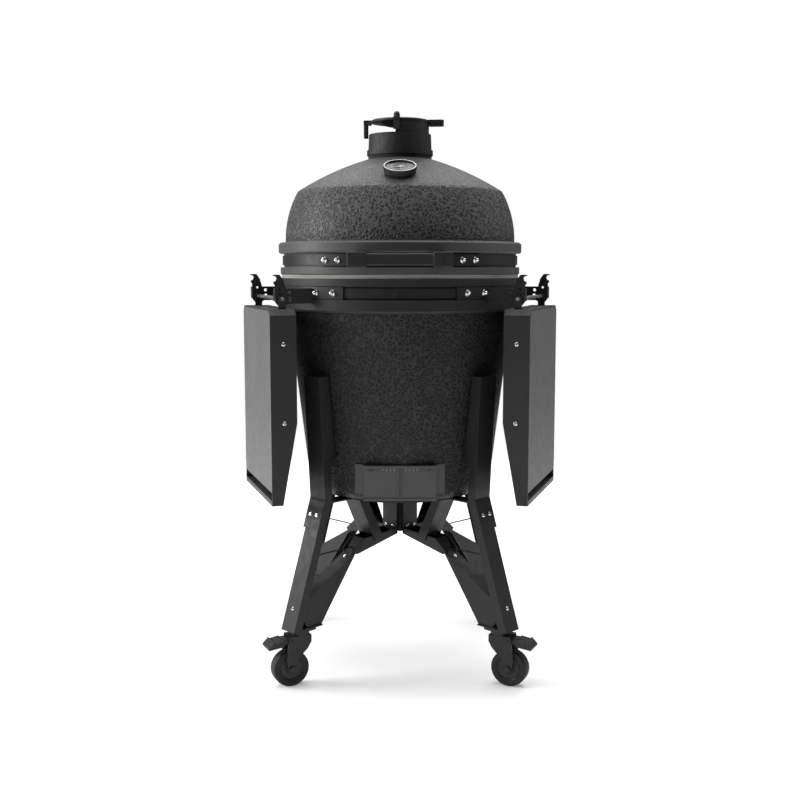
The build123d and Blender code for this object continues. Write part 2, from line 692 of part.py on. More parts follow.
# ---------------------------------------------------------------- side tables
def table_place(side):
    """Turn a table built along +X so that it faces its own side; side is -1 for the left."""
    return Rot(0, 0, 180 + TABLE_TURN) if side < 0 else Rot(0, 0, -TABLE_TURN)


def table_outline(inset):
    """Outline of the table seen along its outward direction, as (across, z) corners."""
    half = TABLE_W / 2 - inset
    top = TABLE_TOP_Z - inset
    bottom = TABLE_TOP_Z - TABLE_LENGTH + inset
    cut = TABLE_CORNER
    return [(-half, bottom), (half, bottom), (half, top - cut), (half - cut, top), (-half + cut, top),
            (-half, top - cut)]


def table_prism(inset, d0, d1):
    face = make_face(Polyline([(d0, y, z) for y, z in table_outline(inset)], close=True))
    return extrude(face, amount=d1 - d0, dir=(1, 0, 0))


def table_frame(side):
    """Folded sheet frame: tapering skirts, a pan under the panel, a towel slot and hinge lugs."""
    bottom = TABLE_TOP_Z - TABLE_LENGTH
    face = TABLE_FACE
    shell = table_prism(0, face - TABLE_DEPTH, face)
    shell -= table_prism(TABLE_SKIN, face - TABLE_DEPTH - 1, face + 1)
    pan_z = bottom + TABLE_RAIL + TABLE_SLOT
    pan = table_prism(TABLE_SKIN - 0.5, face - TABLE_PANEL_T - 2.5, face - TABLE_PANEL_T - 0.5)
    pan = pan & block(0, 500, -400, 400, pan_z, TABLE_TOP_Z)
    lip = block(face - TABLE_END_DEPTH, face - 0.4, -TABLE_W / 2 + 1, TABLE_W / 2 - 1, pan_z, pan_z + 2)
    rail = block(face - TABLE_END_DEPTH, face, -TABLE_W / 2 + 1, TABLE_W / 2 - 1, bottom, bottom + TABLE_RAIL)
    whole = shell + pan + lip + rail
    straight_z = TABLE_TOP_Z - TABLE_STRAIGHT
    taper = plate([(face - TABLE_DEPTH - 5, straight_z), (face - TABLE_DEPTH, straight_z),
                   (face - TABLE_END_DEPTH, bottom), (face - TABLE_END_DEPTH, bottom - 5),
                   (face - TABLE_DEPTH - 5, bottom - 5)], TABLE_W + 20)
    whole = whole - taper
    for offset in (-ARM_OFFSET - 4.5 * 1, ARM_OFFSET - 4.5):
        whole += lug_plate(offset)
    return table_place(side) * mirror_for(side, whole)


def mirror_for(side, part):
    """The left table is the right one mirrored, so that both hinge alike."""
    return mirror(part, Plane.XZ) if side < 0 else part


def lug_plate(offset):
    """Hinge lug that rises from the table's end to the pivot rod."""
    lug = plate([(PIVOT_D - 8, TABLE_TOP_Z - 1), (PIVOT_D + 8, TABLE_TOP_Z - 1), (PIVOT_D + 8, PIVOT_Z),
                 (PIVOT_D - 8, PIVOT_Z)], ARM_T, offset)
    lug += Pos(PIVOT_D, offset, PIVOT_Z) * Rot(90, 0, 0) * Cylinder(8, ARM_T)
    return lug - Pos(PIVOT_D, offset, PIVOT_Z) * Rot(90, 0, 0) * Cylinder(PIVOT_R + 0.02, ARM_T * 3)


def table_panel(side):
    """Light-coloured worktop panel let into the frame."""
    bottom = TABLE_TOP_Z - TABLE_LENGTH + TABLE_RAIL + TABLE_SLOT + 2.3
    face = TABLE_FACE
    panel = table_prism(TABLE_SKIN + 0.5, face - TABLE_PANEL_T - 0.3, face)
    return table_place(side) * (panel & block(0, 500, -400, 400, bottom, TABLE_TOP_Z + 5))


def table_bolts(side):
    """Button heads on both skirts."""
    heads = []
    for edge in (-1, 1):
        for down in (72.6, 240.6):
            point = Vector(TABLE_FACE - TABLE_DEPTH / 2, edge * (TABLE_W / 2 + 0.05), TABLE_TOP_Z - down)
            heads.append(facing(point, Vector(0, edge, 0)) * button_bolt(4.4))
    return table_place(side) * joined(heads)


def table_rod(side):
    near = -ARM_OFFSET - 9
    far = ARM_OFFSET + 5
    bar = rod((PIVOT_D, near, PIVOT_Z), (PIVOT_D, far, PIVOT_Z), PIVOT_R)
    return table_place(side) * mirror_for(side, bar)


def hook_plate(offset):
    """Arm and beaked hook, square to the table's width, with a stop flange behind it."""
    low = PIVOT_Z - 14
    outline = [
        (236, low + 4), (292, low + 4), (297, low), (313, low), (319, PIVOT_Z - 6), (319, PIVOT_Z + 28),
        (323, PIVOT_Z + 35), (317, PIVOT_Z + 38), (315, PIVOT_Z + 43), (317, PIVOT_Z + 47),
        (325, PIVOT_Z + 49), (319, PIVOT_Z + 51), (309, PIVOT_Z + 51), (301, PIVOT_Z + 40),
        (296, PIVOT_Z + 22), (236, PIVOT_Z + 22)]
    arm = plate(outline, ARM_T, offset)
    flange = block(319 - ARM_T, 319, offset - ARM_T / 2, offset + 18, PIVOT_Z - 5, PIVOT_Z + 22)
    arm += flange
    across = Rot(90, 0, 0)
    arm -= Pos(PIVOT_D, offset, PIVOT_Z) * across * Cylinder(PIVOT_R + RUN, ARM_T * 4)
    arm -= Pos(307, offset, PIVOT_Z + 20) * across * Cylinder(2.6, ARM_T * 3)
    arm -= Pos(288, offset, PIVOT_Z + 14) * across * Cylinder(3.6, ARM_T * 3)
    arm -= block(284, 290, offset - 8, offset + 8, PIVOT_Z - 6, PIVOT_Z + 5)
    return arm


def table_bracket(side):
    """Curved strap on the base band with the two hook arms of one table."""
    z = BASE_BAND_Z
    start = FRONT + STRAP_FROM + TABLE_TURN
    end = FRONT + STRAP_TO + TABLE_TURN
    bracket = sector(BAND_OUT + GAP, PLATE_OUT, z - STRAP_H / 2, z + STRAP_H / 2, start, end)
    for offset in (-ARM_OFFSET, ARM_OFFSET):
        bracket += hook_plate(offset)
    bracket -= tube(0.1, BAND_OUT + GAP, z - 100, z + 100)
    bracket -= disc(BASE_RIM_R + 0.6, PIVOT_Z - 80, z - STRAP_H / 2 - 0.6)
    bracket -= disc(BASE_RIM_R + 0.6, z + STRAP_H / 2, LID_Z + 60)
    return table_place(side) * mirror_for(side, bracket)


# ---------------------------------------------------------------- stand
def post_line(z):
    """Outer face of the post's lower run at height z."""
    return POST_BEND_R + (POST_BEND_Z - z) * tan(radians(SPLAY))


def post():
    """Folded post that hugs the pot, then splays with the leg bolted inside its tail."""
    tail = (post_line(POST_TAIL_Z), POST_TAIL_Z)
    face = [(POST_TOP_R, POST_TOP_Z), (POST_BEND_R, POST_BEND_Z), tail]
    web = plate(thick_line(face, SHEET), POST_W)
    pot_gap = 4.0
    top_in = body_r(POST_TOP_Z) + pot_gap
    low_in = body_r(POST_FLANGE_Z) + pot_gap
    flange = face + [(tail[0] - 17, POST_TAIL_Z + 4), (POST_BEND_R - 20, POST_BEND_Z + 2),
                     (POST_BEND_R - 17, POST_FLANGE_Z - 14), (low_in, POST_FLANGE_Z), (top_in, POST_TOP_Z)]
    sides = [plate(flange, SHEET, side * (POST_W - SHEET) / 2) for side in (-1, 1)]
    return web + sides[0] + sides[1]


def leg():
    """Channel leg inside the post's tail, with the foot plate across its bottom."""
    shift = SHEET / cos(radians(SPLAY)) + 0.4
    width = POST_W - 2 * SHEET - 0.6
    top_z = POST_BEND_Z - 6
    top = (post_line(top_z) - shift, top_z)
    low = (post_line(FOOT_Z - SHEET) - shift, FOOT_Z - SHEET)
    web = plate(thick_line([top, low], SHEET), width)
    depth = LEG_DEPTH
    flange = [low, top, (top[0] - depth, top[1]), (low[0] - depth, low[1])]
    sides = [plate(flange, SHEET, side * (width - SHEET) / 2) for side in (-1, 1)]
    foot = block(FOOT_INNER_R, low[0] - 1, -width / 2, width / 2, FOOT_Z - SHEET, FOOT_Z)
    return web + sides[0] + sides[1] + foot


def leg_inner_face(z):
    return post_line(z) - 2 * SHEET / cos(radians(SPLAY)) - 0.8


def strut():
    """Inner brace from the foot up to the knee, with sides that widen towards the foot."""
    top = (KNEE_TOP_R, KNEE_TOP_Z)
    knee = (KNEE_R, KNEE_Z)
    end = (leg_inner_face(STRUT_FOOT_Z) - 1, STRUT_FOOT_Z)
    web = plate(thick_line([top, knee, end], SHEET), STRUT_W)
    side_outline = [knee, end, (end[0] - 2, STRUT_FOOT_Z - 28), (end[0] - 18, FOOT_Z + 0.3),
                    (FOOT_INNER_R, FOOT_Z + 0.3), (KNEE_R + 2, KNEE_Z - 6)]
    sides = [plate(side_outline, SHEET, side * (STRUT_W - SHEET) / 2) for side in (-1, 1)]
    return web + sides[0] + sides[1]


def arm():
    """Upturned channel from the knee to the hub, ending in a tall hub panel."""
    hub_out = HUB_R + SHEET
    knee_low = (KNEE_R - 2, KNEE_Z - 4)
    slope = (HUB_Z - knee_low[1]) / (hub_out - knee_low[0])
    web_end = KNEE_R - 16
    web_end_z = HUB_Z + slope * (web_end - hub_out)
    web = plate([(HUB_R, HUB_Z), (web_end, web_end_z), (web_end, web_end_z + SHEET), (HUB_R, HUB_Z + SHEET)],
                ARM_W)
    sides_outline = [(hub_out - 1, HUB_Z), knee_low, (KNEE_R + 5, KNEE_Z + 4), (KNEE_TOP_R + 2, KNEE_TOP_Z),
                     (hub_out - 1, HUB_Z + ARM_HUB_H)]
    sides = [plate(sides_outline, SHEET, side * (ARM_W - SHEET) / 2) for side in (-1, 1)]
    panel = block(HUB_R, hub_out, -PANEL_W / 2, PANEL_W / 2, HUB_Z, ring_z() - 0.3)
    return web + sides[0] + sides[1] + panel


def ring_z():
    """Underside of the support plate."""
    return BASE_BOTTOM_Z - 0.3 - SHEET


def hub_core():
    core = Rot(0, 0, 45) * Box(2 * CORE_HALF, 2 * CORE_HALF, ring_z() - HUB_Z - 6)
    hole = Rot(0, 0, 45) * Box(2 * CORE_HALF - 6, 2 * CORE_HALF - 6, ring_z() - HUB_Z)
    return Pos(0, 0, (ring_z() + HUB_Z) / 2 + 2) * (core - hole)


def plate_strut():
    """Short sloping channel that carries the support plate from an arm, astride it."""
    top_z = ring_z() - 0.3
    low_z = HUB_Z + 12
    top = (RING_STRUT_TOP_R, top_z)
    low = (RING_STRUT_BOTTOM_R, low_z)
    web = plate(thick_line([top, low], SHEET), RING_STRUT_W)
    inner_w = ARM_W + 0.8
    thick = (RING_STRUT_W - inner_w) / 2
    run = (top[0] - low[0]) / (top_z - low_z)
    foot_z = HUB_Z - 4
    foot = (low[0] + run * (foot_z - low_z), foot_z)
    outline = [top, foot, (foot[0] - RING_STRUT_DEPTH, foot_z + 6), (top[0] - RING_STRUT_DEPTH, top_z)]
    sides = [plate(outline, thick, side * (RING_STRUT_W - thick) / 2) for side in (-1, 1)]
    above = block(0, RING_OUTER_R, -RING_STRUT_W, RING_STRUT_W, top_z, top_z + 2 * SHEET)
    return web + sides[0] + sides[1] - above


def support_plate():
    """Round plate with a skirt under the pot, and a tab into each leg."""
    z = ring_z()
    ring = disc(RING_OUTER_R, z, z + SHEET)
    ring += tube(RING_OUTER_R - SHEET, RING_OUTER_R, z - RING_SKIRT, z + 1)
    tab_w = POST_W - 4 * SHEET - 2
    for name, azimuth in QUADRANTS:
        tab = block(RING_OUTER_R - 6, leg_inner_face(z) - 0.6, -tab_w / 2, tab_w / 2, z - SHEET, z + 0.5)
        ring += Rot(0, 0, azimuth) * tab
    return ring


def all_round(part):
    return joined([Rot(0, 0, azimuth) * part for name, azimuth in QUADRANTS])


def tie_rod():
    return rod((KNEE_R - 8 + 2, 0, TIE_Z), (leg_inner_face(TIE_Z) - 0.3, 0, TIE_Z), TIE_R)


def stand_bolts():
    """Visible button heads of one quadrant: tail, foot, knee and hub."""
    splay = radians(SPLAY)
    out = Vector(cos(splay), 0, sin(splay))
    heads = []
    for y in (-10.5, 10.5):
        heads.append(facing(Vector(post_line(370) + 0.05, y, 370), out) * button_bolt())
    leg_out = post_line(172) - SHEET / cos(splay) - 0.4 + 0.05
    heads.append(facing(Vector(leg_out, 0, 172), out) * button_bolt())
    end = (leg_inner_face(STRUT_FOOT_Z) - 1, STRUT_FOOT_Z)
    fall = atan2(KNEE_Z - end[1], end[0] - KNEE_R)
    up = Vector(sin(fall), 0, cos(fall))
    spot = Vector(KNEE_R + 15, 0, KNEE_Z - 15 * tan(fall) + 0.05)
    heads.append(facing(spot, up) * button_bolt())
    for y in (-10.5, 10.5):
        spot = Vector(HUB_R + SHEET + 0.05, y, HUB_Z + ARM_HUB_H + 5)
        heads.append(facing(spot, Vector(1, 0, 0)) * button_bolt())
    return joined(heads)


# ---------------------------------------------------------------- casters
def caster_place(azimuth):
    """Move a caster built with its trail along +X to its corner, at its rest direction."""
    x = SWIVEL_R * cos(radians(azimuth))
    y = SWIVEL_R * sin(radians(azimuth))
    if x < 0:
        heading = 180 + TRAIL_ANGLE if y < 0 else 180 - TRAIL_ANGLE
    else:
        heading = -TRAIL_ANGLE if y < 0 else TRAIL_ANGLE
    return Pos(x, y, 0) * Rot(0, 0, heading)


def caster_plate():
    """Top plate bolted under a foot, with its kingpin and four bolt heads."""
    top = FOOT_Z - SHEET - 0.2
    low = top - 4
    half = 22.0
    solid = block(SWIVEL_R - 30, SWIVEL_R + 24, -half, half, low, top)
    solid = fillet(solid.edges().filter_by(Axis.Z), 4)
    solid += Pos(SWIVEL_R, 0, 0) * disc(KINGPIN_R, low - 10, low + 1)
    return solid


def caster_fork(braked):
    """Swivel race, crown, two cheeks and the axle."""
    top = FORK_TOP_Z - 0.1
    crown = top - 8
    part = disc(RACE_R, crown, top) - disc(RACE_R - 5, crown - 1, crown + 3)
    part += block(-20, 30, -FORK_GAP - FORK_T, FORK_GAP + FORK_T, crown - FORK_T + 1, crown + 1)
    cheek = [(-20, crown), (30, crown), (34, 86), (37, 60),
             (TRAIL + 8, WHEEL_R - 7), (TRAIL - 8, WHEEL_R - 7),
             (TRAIL - 12, 60), (-12, 84), (-20, 98)]
    for side in (-1, 1):
        part += plate(cheek, FORK_T, side * (FORK_GAP + FORK_T / 2))
    half = FORK_GAP + FORK_T + 4
    part += rod((TRAIL, -half, WHEEL_R), (TRAIL, half, WHEEL_R), AXLE_R)
    for side in (-1, 1):
        part += rod((TRAIL, side * (half - 4), WHEEL_R), (TRAIL, side * half, WHEEL_R), AXLE_R + 3)
    part -= disc(KINGPIN_R + RUN, crown - 10, top + 5)
    if braked:
        part -= rod((PEDAL_X, -60, PEDAL_Z), (PEDAL_X, 60, PEDAL_Z), PEDAL_PIN_R + RUN)
        part -= block(26, 60, -FORK_GAP, FORK_GAP, crown - 6, crown + 0.5)
    return part


def caster_wheel():
    """Rubber-tyred wheel with dished sides and a plain bore."""
    r = WHEEL_R
    w = WHEEL_W / 2
    bore = AXLE_R + RUN
    outline = [(bore, -w - 2), (10, -w - 2), (11, -w + 4), (r - 12, -w + 4), (r - 9, -w), (r - 3, -w),
               (r, -w + 5), (r, w - 5), (r - 3, w), (r - 9, w), (r - 12, w - 4), (11, w - 4), (10, w + 2),
               (bore, w + 2)]
    return Pos(TRAIL, 0, WHEEL_R) * Rot(90, 0, 0) * turned(outline)


def brake_pedal():
    """Foot pedal on a cross pin between the cheeks; its toe pushes down on the wheel."""
    tongue = plate([(PEDAL_X - 6, PEDAL_Z - 4.5), (PEDAL_X - 6, PEDAL_Z + 3.5), (46, PEDAL_Z + 3.5),
                    (46, PEDAL_Z - 7), (34, PEDAL_Z - 6)], 2 * FORK_GAP - 1.2)
    toe = plate([(42, PEDAL_Z + 3.5), (70, PEDAL_Z - 1),
                 (PEDAL_REACH, PEDAL_Z - 9), (PEDAL_REACH, PEDAL_Z - 13),
                 (60, PEDAL_Z - 11), (42, PEDAL_Z - 9)], PEDAL_W)
    half = FORK_GAP + FORK_T + 1
    pin = rod((PEDAL_X, -half, PEDAL_Z), (PEDAL_X, half, PEDAL_Z), PEDAL_PIN_R)
    ridge = rod((66, -PEDAL_W / 2, PEDAL_Z + 1), (66, PEDAL_W / 2, PEDAL_Z + 1), 2.2)
    return tongue + toe + pin + ridge


# ---------------------------------------------------------------- writing
def sub_parts():
    """Every node's name and solid."""
    yield "base_ceramic", base_ceramic()
    yield "lid_ceramic", lid_ceramic()
    yield "base_gasket", base_gasket()
    yield "lid_gasket", lid_gasket()
    yield "fire_bowl", fire_bowl()
    yield "fire_ring", fire_ring()
    yield "charcoal_grate", charcoal_grate()
    yield "cooking_grid", cooking_grid()
    yield "base_band", band(BASE_BAND_Z)
    yield "lid_band", band(LID_BAND_Z)
    yield "base_band_nuts", base_band_nuts()
    yield "lid_band_nuts", lid_band_nuts()
    yield "hinge_base_bracket", hinge_base_bracket()
    yield "hinge_lid_bracket", hinge_lid_bracket()
    yield "hinge_pin", hinge_pin()
    yield "hinge_springs", hinge_springs()
    yield "handle_bar", handle_bar()
    yield "handle_brackets", handle_brackets()
    yield "chimney_gasket", chimney_gasket()
    yield "chimney_collar", chimney_collar()
    yield "vent_cap", vent_cap()
    yield "vent_shutter", vent_shutter()
    yield "thermometer_case", thermometer_case()
    yield "thermometer_dial", thermometer_dial()
    yield "thermometer_needle", thermometer_needle()
    yield "thermometer_lens", thermometer_lens()
    yield "draft_frame", draft_frame()
    yield "draft_screen", draft_screen()
    for name, side in (("left", -1), ("right", 1)):
        yield f"draft_door_{name}", draft_door(side)
        yield f"table_frame_{name}", table_frame(side)
        yield f"table_panel_{name}", table_panel(side)
        yield f"table_bolts_{name}", table_bolts(side)
        yield f"table_rod_{name}", table_rod(side)
        yield f"table_bracket_{name}", table_bracket(side)
    yield "posts", all_round(post())
    yield "legs", all_round(leg())
    yield "struts", all_round(strut())
    yield "arms", all_round(arm())
    yield "hub_core", hub_core()
    yield "plate_struts", all_round(plate_strut())
    yield "support_plate", support_plate()
    yield "tie_rods", all_round(tie_rod())
    yield "stand_bolts", all_round(stand_bolts())
    yield "caster_plates", all_round(caster_plate())
    for name, azimuth in QUADRANTS:
        place = caster_place(azimuth)
        braked = name.startswith("front")
        yield f"caster_fork_{name}", place * caster_fork(braked)
        yield f"caster_wheel_{name}", place * caster_wheel()
        if braked:
            yield f"brake_pedal_{name}", place * brake_pedal()


os.makedirs("parts", exist_ok=True)
for node, solid in sub_parts():
    export_step(solid, f"parts/{node}.step")
    print(node, round(solid.volume / 1000, 1), "cm3")
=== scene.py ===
"""Finishes and fine pieces of a kamado ceramic grill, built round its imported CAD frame."""
import json
import math

import bmesh
import bpy
from mathutils import Matrix, Vector

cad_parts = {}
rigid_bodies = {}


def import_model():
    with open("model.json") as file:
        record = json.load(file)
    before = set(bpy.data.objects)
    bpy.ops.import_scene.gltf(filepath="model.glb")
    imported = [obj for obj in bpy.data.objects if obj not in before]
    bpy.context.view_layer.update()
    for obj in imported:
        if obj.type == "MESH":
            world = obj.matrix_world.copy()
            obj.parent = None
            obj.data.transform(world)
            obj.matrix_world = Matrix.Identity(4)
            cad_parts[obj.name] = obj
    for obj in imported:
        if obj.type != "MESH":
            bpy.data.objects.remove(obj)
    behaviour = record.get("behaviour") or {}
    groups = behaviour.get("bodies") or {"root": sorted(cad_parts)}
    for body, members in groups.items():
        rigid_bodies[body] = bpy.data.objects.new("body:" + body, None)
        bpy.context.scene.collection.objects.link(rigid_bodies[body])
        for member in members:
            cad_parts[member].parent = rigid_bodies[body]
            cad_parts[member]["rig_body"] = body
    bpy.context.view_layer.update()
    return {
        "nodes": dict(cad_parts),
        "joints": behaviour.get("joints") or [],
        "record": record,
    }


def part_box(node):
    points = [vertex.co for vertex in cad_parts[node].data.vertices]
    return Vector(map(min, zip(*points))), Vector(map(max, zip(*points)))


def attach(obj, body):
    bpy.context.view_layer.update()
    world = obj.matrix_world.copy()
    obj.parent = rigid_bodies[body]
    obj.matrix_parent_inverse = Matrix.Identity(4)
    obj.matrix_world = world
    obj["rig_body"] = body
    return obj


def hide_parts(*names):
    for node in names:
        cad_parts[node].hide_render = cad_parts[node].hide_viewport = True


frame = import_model()
NODES = frame["nodes"]
SIDES = (("left", -1), ("right", 1))
CORNERS = ("front_left", "front_right", "rear_right", "rear_left")

# ---------------------------------------------------------------- sizes, in metres
CRACKLE_CELL = 0.0085           # width of one pit in the textured glaze
CRACKLE_WARP = 0.0130           # how far the warping carries a pit from its place
CRACKLE_STRETCH = 1.6           # extra warping up and down
CRACKLE_HEIGHT = 0.0020
LID_RINGS_H = 0.071             # plain rings below the lid's textured side
LID_SIDE_H = 0.185              # from the lid's rim to the start of its cone
BASE_RINGS_H = 0.071
NUT_ACROSS = 0.0112
NUT_HEIGHT = 0.0045
WASHER_R = 0.0068
BOLT_R = 0.0046
BOLT_HEIGHT = 0.0030
SOCKET_R = 0.0027
SPRING_WIRE_R = 0.0020
BEZEL_WIRE_R = 0.0007
BEZEL_INSET = 0.0022
DIAL_GAPS = 27                  # spaces between the marks round the dial
DIAL_START = 225                # degrees
DIAL_SWEEP = 270
DIAL_STEP = 50                  # between one number and the next
FIGURE_HEIGHT = 0.0058
SCREEN_PITCH = 0.0032
SCREEN_WIRE_R = 0.00038
TICK_WIDTH = 0.0010
TICK_LENGTH = 0.0055
TICKS_PER_DOOR = 4
TICK_PITCH = 0.0082
FIRST_TICK = 0.0115
PRINT_THICKNESS = 0.0003
PEDAL_RIDGES = 5
RIDGE_PITCH = 0.0052
FIRST_RIDGE = 0.020             # from the pedal's pin
PEDAL_CREST = 0.018
PEDAL_FALL = 0.16               # slope of the pedal past its crest
TREAD_R = 0.003
WHEEL_SKIN = 0.002              # how far the tyre stops inside the wheel's solid
TYRE_DEPTH = 0.012
HUB_BORE = 0.0042
EDGE_ROUND = 0.0007
FLOOR_HALF = 2.6

# ---------------------------------------------------------------- light
WORLD_STRENGTH = 0.12
FLOOR_GLOW = 0.22
LIGHT_TARGET = (0.0, 0.0, 0.65)
LIGHTS = (                      # name, place, size, watts
    ("key", (-3.3, -0.15, 1.7), 1.5, 105.0),
    ("fill", (3.2, 0.6, 1.7), 1.0, 9.0),
    ("top", (0.0, 1.4, 6.0), 9.0, 740.0),
)


# ---------------------------------------------------------------- material helpers
class Finish:
    """One procedural material, with short ways to add the nodes that it needs."""

    def __init__(self, name, rough, metal=0.0, coat=0.0, coat_rough=0.1):
        self.mat = bpy.data.materials.new(name)
        self.mat.use_nodes = True
        self.tree = self.mat.node_tree
        self.shader = self.tree.nodes["Principled BSDF"]
        self.shader.inputs["Roughness"].default_value = rough
        self.shader.inputs["Metallic"].default_value = metal
        self.shader.inputs["Coat Weight"].default_value = coat
        self.shader.inputs["Coat Roughness"].default_value = coat_rough
        self.place = self.tree.nodes.new("ShaderNodeTexCoord").outputs["Object"]

    def add(self, kind, **settings):
        node = self.tree.nodes.new(kind)
        for key, value in settings.items():
            setattr(node, key, value)
        return node

    def join(self, output, socket):
        self.tree.links.new(output, socket)
        return self

    def noise(self, scale, detail=3.0, rough=0.5, vector=None):
        """Noise value at a scale, over the object unless another vector is given."""
        node = self.add("ShaderNodeTexNoise")
        node.inputs["Scale"].default_value = scale
        node.inputs["Detail"].default_value = detail
        node.inputs["Roughness"].default_value = rough
        self.join(vector or self.place, node.inputs["Vector"])
        return node.outputs["Fac"]

    def stretched(self, scale):
        """Object coordinates stretched differently along each axis."""
        node = self.add("ShaderNodeMapping")
        node.inputs["Scale"].default_value = scale
        self.join(self.place, node.inputs["Vector"])
        return node.outputs["Vector"]

    def spread(self, value, low, high, new_low=0.0, new_high=1.0):
        """Smooth step from one range of values to another."""
        node = self.add("ShaderNodeMapRange", interpolation_type="SMOOTHSTEP")
        node.inputs["From Min"].default_value = low
        node.inputs["From Max"].default_value = high
        node.inputs["To Min"].default_value = new_low
        node.inputs["To Max"].default_value = new_high
        self.join(value, node.inputs["Value"])
        return node.outputs["Result"]

    def maths(self, operation, first, second):
        """One sum of two values, each a number or an output."""
        node = self.add("ShaderNodeMath", operation=operation)
        for socket, value in zip(node.inputs, (first, second)):
            if isinstance(value, float):
                socket.default_value = value
            else:
                self.join(value, socket)
        return node.outputs["Value"]

    def mix(self, factor, dark, light):
        """Colour between two greys or colours; each is a colour or another output."""
        node = self.add("ShaderNodeMix", data_type="RGBA")
        self.join(factor, node.inputs["Factor"])
        colours = {socket.name: socket for socket in node.inputs if socket.type == "RGBA"}
        for name, value in (("A", dark), ("B", light)):
            if isinstance(value, tuple):
                colours[name].default_value = (*value, 1.0)
            else:
                self.join(value, colours[name])
        return [socket for socket in node.outputs if socket.type == "RGBA"][0]

    def colour(self, output):
        return self.join(output, self.shader.inputs["Base Color"])

    def roughness(self, output):
        return self.join(output, self.shader.inputs["Roughness"])

    def bumps(self, layers, rounded=0.0):
        """Stack bump layers of (height output, distance in metres), over rounded edges if asked."""
        normal = None
        if rounded:
            bevel = self.add("ShaderNodeBevel", samples=4)
            bevel.inputs["Radius"].default_value = rounded
            normal = bevel.outputs["Normal"]
        for height, distance in layers:
            bump = self.add("ShaderNodeBump")
            bump.inputs["Distance"].default_value = distance
            self.join(height, bump.inputs["Height"])
            if normal:
                self.join(normal, bump.inputs["Normal"])
            normal = bump.outputs["Normal"]
        return self.join(normal, self.shader.inputs["Normal"])


def grey(level, warmth=0.0):
    """Grey of one level, leaning to red where warmth is positive."""
    return (level * (1 + warmth), level, level * (1 - warmth))


# ---------------------------------------------------------------- finishes
def ceramic(name, level, textured_low, textured_high, cone_z, cone_share):
    """Crackled glaze between two heights, softer on the cone, smooth on the rings, with painted shade in its
    pits and a painted highlight on the ridges between them.
    """
    f = Finish(name, 0.5)
    split = f.add("ShaderNodeSeparateXYZ")
    f.join(f.place, split.inputs["Vector"])
    height = split.outputs["Z"]
    above = f.spread(height, textured_low, textured_low + 0.003)
    below = f.spread(height, textured_high - 0.003, textured_high, 1.0, 0.0)
    cone = f.spread(height, cone_z - 0.006, cone_z + 0.014, 1.0, cone_share)
    area = f.maths("MULTIPLY", f.maths("MULTIPLY", above, below), cone)
    warp = f.add("ShaderNodeTexNoise")
    warp.inputs["Scale"].default_value = 0.55 / CRACKLE_CELL
    warp.inputs["Detail"].default_value = 2.0
    f.join(f.place, warp.inputs["Vector"])
    shift = f.add("ShaderNodeVectorMath", operation="MULTIPLY_ADD")
    shift.inputs[1].default_value = (CRACKLE_WARP, CRACKLE_WARP, CRACKLE_WARP * CRACKLE_STRETCH)
    f.join(warp.outputs["Color"], shift.inputs[0]).join(f.place, shift.inputs[2])
    cells = f.add("ShaderNodeTexVoronoi", feature="DISTANCE_TO_EDGE")
    cells.inputs["Scale"].default_value = 1 / CRACKLE_CELL
    f.join(shift.outputs["Vector"], cells.inputs["Vector"])
    pits = f.spread(cells.outputs["Distance"], 0.06, 0.22)
    depth = f.maths("MULTIPLY", pits, area)
    relief = f.maths("SUBTRACT", 1.0, depth)
    patches = f.spread(f.noise(9.0, 4.0), 0.3, 0.7)
    base = f.mix(patches, grey(level * 0.88), grey(level * 1.12))
    # painted highlight: the ridges between the pits are painted lighter
    ridge_highlight = f.maths("MULTIPLY", f.spread(cells.outputs["Distance"], 0.02, 0.10, 1.0, 0.0), area)
    highlit_glaze = f.mix(ridge_highlight, base, grey(level * 1.5))
    # painted shade: the pits are painted darker
    f.colour(f.mix(depth, highlit_glaze, grey(level * 0.38)))
    f.roughness(f.spread(f.noise(240.0, 3.0), 0.3, 0.7, 0.42, 0.58))
    f.shader.inputs["Specular IOR Level"].default_value = 0.3
    f.bumps([(relief, CRACKLE_HEIGHT), (f.noise(900.0, 2.0), 0.00012)], EDGE_ROUND)
    return f.mat


def powder_coat(name, level, rough, grain=0.00012, warmth=0.0):
    """Baked powder paint: fine orange peel, pale specks and a slight drift of tone."""
    f = Finish(name, rough)
    f.shader.inputs["Specular IOR Level"].default_value = 0.3
    drift = f.spread(f.noise(14.0, 4.0), 0.3, 0.7)
    speck = f.spread(f.noise(1400.0, 1.0), 0.35, 0.75)
    base = f.mix(drift, grey(level * 0.9, warmth), grey(level * 1.1, warmth))
    f.colour(f.mix(speck, base, grey(level * 1.25, warmth)))
    f.roughness(f.spread(f.noise(60.0, 4.0), 0.3, 0.7, rough - 0.06, rough + 0.07))
    f.bumps([(f.noise(1100.0, 2.0), grain)], EDGE_ROUND)
    return f.mat


def cast_iron(name, level, rough):
    """Sand-cast iron with small dark pits under black paint."""
    f = Finish(name, rough)
    f.shader.inputs["Specular IOR Level"].default_value = 0.3
    pits = f.spread(f.noise(700.0, 4.0, 0.65), 0.35, 0.65)
    f.colour(f.mix(pits, grey(level * 0.75), grey(level * 1.3)))
    f.roughness(f.spread(f.noise(90.0, 4.0), 0.3, 0.7, rough - 0.08, rough + 0.08))
    f.bumps([(pits, 0.00022), (f.noise(120.0, 3.0), 0.0003)], 0.0009)
    return f.mat


def polished(name, level, rough, scratch=(300.0, 300.0, 300.0)):
    """Bright metal with faint polishing marks and a film of handling."""
    f = Finish(name, rough, metal=1.0)
    marks = f.noise(1.0, 3.0, 0.6, f.stretched(scratch))
    film = f.spread(f.noise(70.0, 3.0), 0.35, 0.7)
    f.colour(f.mix(film, grey(level, -0.01), grey(level * 0.86)))
    f.roughness(f.spread(marks, 0.3, 0.7, rough, rough + 0.14))
    f.bumps([(marks, 0.00004)])
    return f.mat


